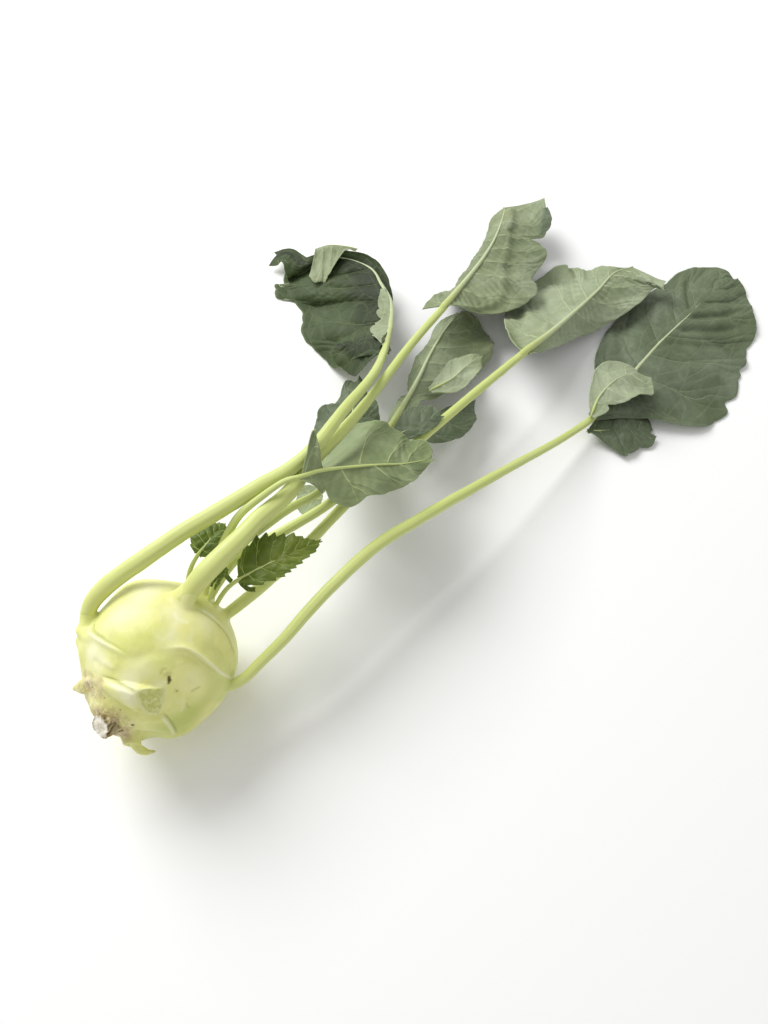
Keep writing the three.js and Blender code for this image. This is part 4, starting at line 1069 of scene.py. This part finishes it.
def old_foot(name, **more):
    """The foot of a leaf that is gone, standing away from the bulb's middle."""
    foot = OLD_FEET[name]
    way = Way(foot["points"])
    return rod(name, way, 0, way.length, foot["width"], foot["height"], stand=BULB_CENTRE, **more)


def cut_foot():
    """The stub of a leaf foot, sliced off at a slant."""
    stub = old_foot("cut", sides=32, step=0.5)
    only(stub)
    bpy.ops.object.mode_set(mode="EDIT")
    bpy.ops.mesh.select_all(action="SELECT")
    bpy.ops.mesh.bisect(plane_co=(CUT_SPOT - MIDDLE) * MM, plane_no=CUT_FACING, use_fill=True,
                        clear_outer=True)
    bpy.ops.object.mode_set(mode="OBJECT")
    return stub


def leaf_foot(name, leaf):
    """The foot of a leaf stalk, spread on the bulb and drawn in to end inside the stalk."""
    way = Way(leaf["axis"])
    t = np.linspace(0, 1, 11)
    drawn_in = smooth_step(0.4, 1.0, t)
    inside = leaf["stalk"][0] * 0.86
    foot = FLAT_FEET.get(name, leaf["foot"])
    sizes = [profile(foot.get(side, foot["width"]), t) * (1 - drawn_in) + inside * drawn_in
             for side in ("width", "height")]
    return rod(name + "_foot", way, 0, way.marks[leaf["foot_to"]], *sizes, sides=24, step=0.8,
               rounded=(1.0, 2.5))


def make_bulb():
    bpy.ops.object.select_all(action="DESELECT")
    bpy.ops.mesh.primitive_uv_sphere_add(segments=96, ring_count=64, radius=BULB_RADIUS * MM,
                                         location=(BULB_CENTRE - MIDDLE) * MM)
    ball = bpy.context.object
    bpy.ops.object.transform_apply(location=True, rotation=True, scale=True)
    pieces = [ball] + [leaf_foot(name, leaf) for name, leaf in LEAVES.items()]
    pieces += [old_foot(name, sides=20, step=0.6, rounded=(1.2, 0.6)) for name in TORN_FEET]
    bulb = joined("bulb_flesh", pieces + [cut_foot()])
    for layer in list(bulb.data.uv_layers):
        bulb.data.uv_layers.remove(layer)
    apply_modifier(bulb, "REMESH", mode="VOXEL", voxel_size=BULB_MESH_WIDTH, use_smooth_shade=True)
    apply_modifier(bulb, "SMOOTH", factor=0.5, iterations=5)
    soften_joins(bulb)
    shape_bulb(bulb.data)
    bulb.data.materials.clear()
    bulb.data.materials.append(BULB_SKIN)
    smooth(bulb)
    return bulb


def soften_joins(bulb):
    """Rounds off the corner where each leaf's foot leaves the bulb's skin."""
    places = places_of(bulb.data)
    near = np.zeros(len(places))
    for name, reach in JOINS.items():
        way = Way(LEAVES[name]["axis"])
        marks = np.linspace(0, way.marks[LEAVES[name]["foot_to"]] * 0.8, 16)
        gap, _ = nearest(places, way.at(marks))
        near = np.maximum(near, 1 - smooth_step(reach * 0.8, reach * 1.3, gap))
    group = bulb.vertex_groups.new(name="joins")
    for share in np.linspace(0.1, 1.0, 10):
        chosen = np.flatnonzero((near > share - 0.1) & (near <= share))
        group.add(chosen.tolist(), float(share), "REPLACE")
    apply_modifier(bulb, "SMOOTH", factor=0.5, iterations=60, vertex_group="joins")


def foot_share(places):
    """How far each place is along a leaf's foot, from the bulb's skin to the stalk's."""
    share = np.zeros(len(places))
    for leaf in LEAVES.values():
        way = Way(leaf["axis"])
        marks = np.linspace(0, way.marks[leaf["foot_to"]] + 3, MARKS_ON_A_FOOT)
        gap, which = nearest(places, way.at(marks))
        along = which / (MARKS_ON_A_FOOT - 1)
        near = 1 - smooth_step(1.1, 1.6, gap / profile(leaf["foot"]["width"], along))
        share = np.maximum(share, smooth_step(0.3, 0.9, along) * near)
    return share


def folds_and_grooves(ground, skin, on_skin):
    """How far folds and grooves raise the skin, how dark the painted shade in their hollows is,
    and how pale the painted highlights on their crests are."""
    raised, crease_shade, crest = (np.zeros(len(ground)) for _ in range(3))
    for line, high, left, right, fade, darker in FOLDS:
        gap, side, share = along_line(ground, line)
        steep = min(left, right)
        ends = fade_in(share, fade[0] + 1e-6) * fade_in(1 - share, fade[1] + 1e-6)
        ends = ends * (skin if steep >= BROAD_FOLD else on_skin)
        reach = np.where(side > 0, left, right)
        raised += high * hump(gap, reach) * ends
        steep_side = (side > 0) == (left < right)
        # Painted shade in a narrow band on the fold's steeper side, which also sinks the skin a
        # little there.
        dark = np.where(steep_side, hump(gap - 2.0 * steep, 0.9 * steep), 0) * ends
        raised -= 0.3 * high * dark * darker
        crease_shade = np.maximum(crease_shade, dark * min(high, 1.0) * darker)
        # Painted highlight along the top of each fold that has painted shade beside it.
        if darker:
            crest = np.maximum(crest, hump(gap, np.minimum(reach, 1.0)) * ends * min(high, 1.0))
    for line, depth, wide, darker in GROOVES:
        gap, side, share = along_line(ground, line)
        groove = hump(gap, wide) * (fade_in(share, 0.2) * fade_in(1 - share, 0.2))
        raised -= depth * groove * on_skin
        # Painted shade along the groove.
        crease_shade = np.maximum(crease_shade, darker * groove * on_skin)
    # Painted highlights along the fold crests, and pale streaks of the skin.
    for line, wide, lighter, fade in CRESTS:
        gap, side, share = along_line(ground, line)
        crest = np.maximum(crest, lighter * hump(gap, wide) * fade_in(share, fade))
    return raised, crease_shade, crest


def sliced(places):
    """Brings what stands above the slice down to it, and says where its face and rim are."""
    above = (places - CUT_SPOT) @ CUT_FACING + 0.2
    level = unit(np.cross(UP, CUT_FACING))
    in_cut = places - CUT_MIDDLE
    over, beside = in_cut @ np.cross(CUT_FACING, level), in_cut @ level
    turned = (np.arctan2(over, beside) / (2 * math.pi) + 0.5) % 1.0
    rim = np.hypot(over, beside) - profile(CUT_RIM, turned)
    near_cut = np.linalg.norm(in_cut, axis=1) < CUT_REACH
    within = (1 - smooth_step(-0.1, 0.5, rim)) * near_cut
    grains = grain(places, 0.9, 2.2) * 0.12 + grain(places, 2.6, 5.2) * 0.2
    places = places - CUT_FACING * (np.maximum(above - grains, 0) * within)[:, None]
    return (places, smooth_step(-0.45, -0.1, above) * within,
            hump(rim, 0.7) * smooth_step(-1.5, -0.4, above) * near_cut)


def shape_bulb(mesh):
    """Folds, scars and colour fields on the bulb, laid on by place."""
    places = places_of(mesh)
    outward = unit(places - BULB_CENTRE)
    ground = on_bulb(places)
    skin = 1 - smooth_step(2.5, 5.0, np.linalg.norm(places - BULB_CENTRE, axis=1) - BULB_RADIUS)
    on_skin = skin * (1 - smooth_step(0.05, 0.5, foot_share(places)))
    raised, crease_shade, crest = folds_and_grooves(ground, skin, on_skin)
    for centre, radius, depth in DENTS:
        raised -= depth * spot(ground, centre, radius, 0.8)
    raised += (grain(places, 17.0, 1.3) * 0.4 + grain(places, 6.0, 4.1) * 0.14
               + grain(places, 2.2, 8.6) * 0.04) * skin
    root_gap = np.linalg.norm(places - np.array(ROOT_ROUTE[1]), axis=1)
    neck_gap = np.linalg.norm(ground - on_bulb([ROOT_ROUTE[2]])[0], axis=1)
    streaks = grain(places, 3.0, 6.3) + 0.5 * grain(places, 1.3, 2.3)
    raised += NECK_HEIGHT * hump(neck_gap, NECK_SPREAD, 3) * skin
    raised += hump(root_gap - COLLAR_PLACE, COLLAR_SPREAD) * (0.3 + 0.8 * streaks)
    raised += 0.25 * hump(root_gap, 15.0, 4) * grain(places, 1.6, 3.3)
    places, cut, rim = sliced(places + outward * raised[:, None])
    places[:, 2] = np.maximum(places[:, 2], 0.0)
    brown = np.clip(1.2 * hump(root_gap, BROWN_SPREAD, 4) + spots(ground, BROWN_SPOTS, 0.9), 0, 1)
    for name in TORN_FEET:
        gap = np.linalg.norm(places - np.array(OLD_FEET[name]["points"][-1], float), axis=1)
        brown = np.maximum(brown, 0.55 * (1 - smooth_step(1.0, 4.5, gap)))
    lay(mesh, places, {
        "brown": brown,
        # green: greener spots, partly painted shade.
        "green": np.clip(spots(ground, GREEN_AND_SHADE_SPOTS, 0.95), 0, 0.8),
        # pale: painted highlights on the fold crests, with the skin's pale spots and streaks.
        "pale": np.clip(crest * 0.6 + spots(ground, PALE_SPOTS, 0.95), 0, 0.8),
        "cut": cut,
        "rim": rim,
        "crease_shade": crease_shade,
        "scar": np.clip(spots(ground, SCARS, 0.5), 0, 1),
        "foot": foot_share(places),
    })


def make_root():
    """The woody stub of the root: a ragged bark round a pale cut end."""
    way = Way(ROOT_ROUTE)
    root = rod("root", way, 0, way.length, [5.6, 5.4, 5.2, 4.9, 4.6], sides=96, step=0.22,
               rounded=(0.5, 0.4))
    places = places_of(root.data)
    end, heading = way.at(way.length), way.heading(way.length)
    reach = (places - end) @ heading
    out = places - end - reach[:, None] * heading
    radius = np.linalg.norm(out, axis=1)
    turned = np.arctan2(out @ np.cross(heading, UP), out @ UP)
    face_rim = 1 - smooth_step(3.9, 4.8, radius + 0.3 * np.sin(turned * 3 + 1))
    face = smooth_step(-0.7, 0.0, reach) * face_rim
    bark = 1 - face
    strands = (0.6 * np.abs(np.sin(turned * 4.5 + 0.5 * np.sin(reach * 0.6))) ** 0.5
               + 0.35 * np.sin(turned * 19 + reach * 0.8))
    cracks = grain(places * np.array([1, 0.4, 1]), 1.1, 9.1)
    ragged = strands * 0.55 + grain(places, 2.6, 3.3) * 0.9 + cracks * 0.45
    rim_round = np.stack([np.cos(turned), np.sin(turned), turned * 0], -1) * 4
    torn = smooth_step(-3, 0, reach) * grain(rim_round, 1.0, 2.7)
    lengthways = face * (0.35 * grain(places, 1.4, 5.5) - 0.5) + bark * torn * 0.9
    places = places + unit(out) * (ragged * bark)[:, None] + heading * lengthways[:, None]
    lay(root.data, places, {
        "cut": face,
        "ring": hump(radius - 5.0, 0.6) * smooth_step(-2, 0, reach),
        "lip": smooth_step(2.4, 3.4, radius),
        "dark": np.clip(0.5 - cracks * 1.2 - ragged * 0.5, 0, 1) * bark,
    })
    root.data.materials.clear()
    root.data.materials.append(ROOT_SKIN)
    return root


# ---------- putting the plant together ----------

# Where the side veins leave the midrib, as shares of the blade's length, left then right.
VEINS = {
    "leaf_1": ([0.03, 0.13, 0.24, 0.36, 0.46, 0.56, 0.68, 0.8, 0.9], [0.1, 0.3, 0.5, 0.7, 0.85]),
    "leaf_2": ([0.02, 0.16, 0.32, 0.45, 0.58, 0.71, 0.83, 0.93],
               [0.05, 0.2, 0.36, 0.49, 0.61, 0.73, 0.85, 0.95]),
    "leaf_3": ([0.03, 0.15, 0.29, 0.44, 0.58, 0.7, 0.81, 0.91],
               [0.04, 0.17, 0.31, 0.46, 0.6, 0.73, 0.84, 0.93]),
    "leaf_4": ([0.04, 0.19, 0.34, 0.49, 0.62, 0.75, 0.87],
               [0.05, 0.16, 0.29, 0.41, 0.54, 0.67, 0.79, 0.9]),
    "leaf_5": ([0.02, 0.22, 0.44, 0.64, 0.8], [0.06, 0.3, 0.54, 0.74]),
    "leaf_6": ([0.08, 0.26, 0.44, 0.62, 0.8], [0.12, 0.31, 0.5, 0.68, 0.85]),
    "leaf_7": ([0.05, 0.2, 0.36, 0.52, 0.67, 0.81, 0.93],
               [0.08, 0.22, 0.37, 0.52, 0.66, 0.8, 0.92]),
    "young_leaf_1": ([0.08, 0.23, 0.38, 0.53, 0.68, 0.83], [0.12, 0.28, 0.43, 0.58, 0.73, 0.88]),
    "young_leaf_2": ([0.1, 0.28, 0.46, 0.64, 0.82], [0.14, 0.34, 0.54, 0.74]),
    "young_leaf_3": ([0.2, 0.5, 0.75], [0.3, 0.6, 0.85]),
}
LOBE_VEINS = ([0.12, 0.35, 0.58, 0.8], [0.2, 0.45, 0.7, 0.88])
# How many rows of faces each blade has along it, and how many columns on each half.
ROWS = {"leaf_1": 320, "leaf_2": 260, "leaf_3": 260, "leaf_4": 300, "leaf_5": 200, "leaf_6": 160,
        "leaf_7": 220, "young_leaf_1": 170, "young_leaf_2": 100, "young_leaf_3": 60}
LOBE_ROWS = 90
COLUMNS, YOUNG_COLUMNS, LOBE_COLUMNS = 32, 14, 18
# Upper skin, under skin and, where it isn't the usual one, the midrib's.
UPPER = (UPPER_SKIN, UNDER_SKIN)
YOUNG = (YOUNG_UPPER_SKIN, YOUNG_UNDER_SKIN, GREEN_MIDRIB_SKIN)
# Leaves 1, 2, 5 and 7 take the darker copies of the leaf skins, which are painted shade.
SKINS = {"leaf_1": (PAINTED_SHADE_UPPER_SKIN, UNDER_SKIN), "leaf_2": (UPPER_SKIN, PAINTED_SHADE_UNDER_SKIN),
         "leaf_5": (UPPER_SKIN, DEEP_PAINTED_SHADE_UNDER_SKIN, GREEN_MIDRIB_SKIN),
         "leaf_7": (UPPER_SKIN, PAINTED_SHADE_UNDER_SKIN)}
# How far a stalk runs on inside its blade, how far back it starts inside its foot, how much
# of its size it has there and at its far end, and how deep it is for its width.
STALK_ON, YOUNG_STALK_ON = 14.0, 4.0
STALK_LEAD = 14.0
SHARES_IN_FOOT, SHARE_AT_END = (0.82, 0.94), 0.4
STALK_DEPTH = 0.97
STALK_MARKS, EVEN_MARKS = 15, 60
# Each blade's own place in the grain: the first one's, and the step to the next.
LEAF_SEED, LEAF_SEED_STEP = 3.1, 7.3
LOBE_SEED, LOBE_SEED_STEP = 91.7, 5.9
FLAP_SEED_STEP = 1.7
# How much the margins wave.
FRILL, YOUNG_FRILL, FLAP_FRILL, LOBE_FRILL = 1.0, 0.25, 0.6, 0.7


def keep(piece, node):
    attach(piece, "root")
    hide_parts(node)


def make_stalk(name, way, foot_end, blade_start, sizes, over):
    """A stalk, from inside its foot on the bulb to inside its blade."""
    lead = min(foot_end * 0.5, STALK_LEAD)
    start = foot_end - lead
    t = np.linspace(0, 1, STALK_MARKS)
    places = np.concatenate([[0.0, lead * 0.5], lead + (blade_start - foot_end) * t,
                             [blade_start + over - start]])
    known = np.concatenate([[sizes[0] * share for share in SHARES_IN_FOOT], profile(sizes, t),
                            [sizes[-1] * SHARE_AT_END]])
    even = np.interp(np.linspace(0, places[-1], EVEN_MARKS), places, known)
    stalk = rod(name + "_stem", way, start, blade_start + over, even, even * STALK_DEPTH, sides=32,
                step=0.9, ribs=0.018)
    stalk.data.materials.append(STALK_SKIN)
    keep(stalk, name + "_stalk")


def make_lobe(name, lobe, seed, skins, frill):
    return blade(name, lobe, 0, Way(lobe["axis"]).length, lobe["foot"], seed, LOBE_ROWS,
                 LOBE_COLUMNS, LOBE_VEINS, skins, frill)


def make_leaf(name, leaf, seed):
    way = Way(leaf["axis"])
    foot_end, blade_start = way.marks[leaf["foot_to"]], way.marks[leaf["blade_from"]]
    young = name.startswith("young")
    make_stalk(name, way, foot_end, blade_start, leaf["stalk"],
               YOUNG_STALK_ON if young else STALK_ON)
    skins = YOUNG if young else SKINS.get(name, UPPER)
    leafy = blade(name + "_leaf", leaf, blade_start + 0.3, way.length, leaf["stalk"][-1], seed,
                  ROWS[name], YOUNG_COLUMNS if young else COLUMNS, VEINS[name], skins,
                  YOUNG_FRILL if young else FRILL)
    flaps = [make_lobe(name + "_flap", flap, seed + FLAP_SEED_STEP * turn,
                       skins if flap["face"] > 0 else UPPER, FLAP_FRILL)
             for turn, flap in enumerate(FLAPS.get(name, []))]
    if flaps:
        leafy = joined(name + "_leaf", [leafy] + flaps)
    keep(leafy, name + "_blade")


keep(make_bulb(), "bulb")
keep(make_root(), "root_stub")
for number, (name, leaf) in enumerate(LEAVES.items()):
    make_leaf(name, leaf, LEAF_SEED + number * LEAF_SEED_STEP)
for number, (name, lobe) in enumerate(LOBES.items()):
    seed = LOBE_SEED + number * LOBE_SEED_STEP
    piece = make_lobe(name + "_leaf", lobe, seed, UPPER, LOBE_FRILL)
    keep(piece, name)


# ---------- floor, light and camera ----------

bpy.ops.object.select_all(action="DESELECT")
bpy.ops.mesh.primitive_plane_add(size=8, location=(0, 0, -0.0003))
floor = bpy.context.object
floor.name = "floor"
floor_finish = Finish("floor_finish", 0.8, specular=0.1)
floor_finish.base = floor_finish.blend(floor_finish.noise(3, 2), (248, 248, 247), (250, 250, 249))
floor.data.materials.append(floor_finish.dress())

world = bpy.data.worlds.new("studio")
world.use_nodes = True
background = world.node_tree.nodes["Background"].inputs
background["Color"].default_value = (1.0, 1.0, 1.0, 1.0)
background["Strength"].default_value = 0.59
bpy.context.scene.world = world

lamp = bpy.data.lights.new("key_softbox", "AREA")
lamp.shape = "RECTANGLE"
lamp.size, lamp.size_y = 0.8, 0.8
lamp.energy = 18
softbox = bpy.data.objects.new("key_softbox", lamp)
softbox.location = (-1.0, 0.15, 1.0)
softbox.rotation_euler = (-Vector(softbox.location)).to_track_quat("-Z", "Y").to_euler()
bpy.context.scene.collection.objects.link(softbox)

camera_lens = bpy.data.cameras.new("camera")
camera_lens.lens = 29
camera_lens.sensor_width = 36
camera = bpy.data.objects.new("camera", camera_lens)
camera.location = (0.14329, -0.19562, 0.38456)
camera.rotation_euler = (math.radians(27), 0, math.radians(38))
bpy.context.scene.collection.objects.link(camera)
bpy.context.scene.camera = camera
bpy.context.scene.view_settings.view_transform = "Standard"
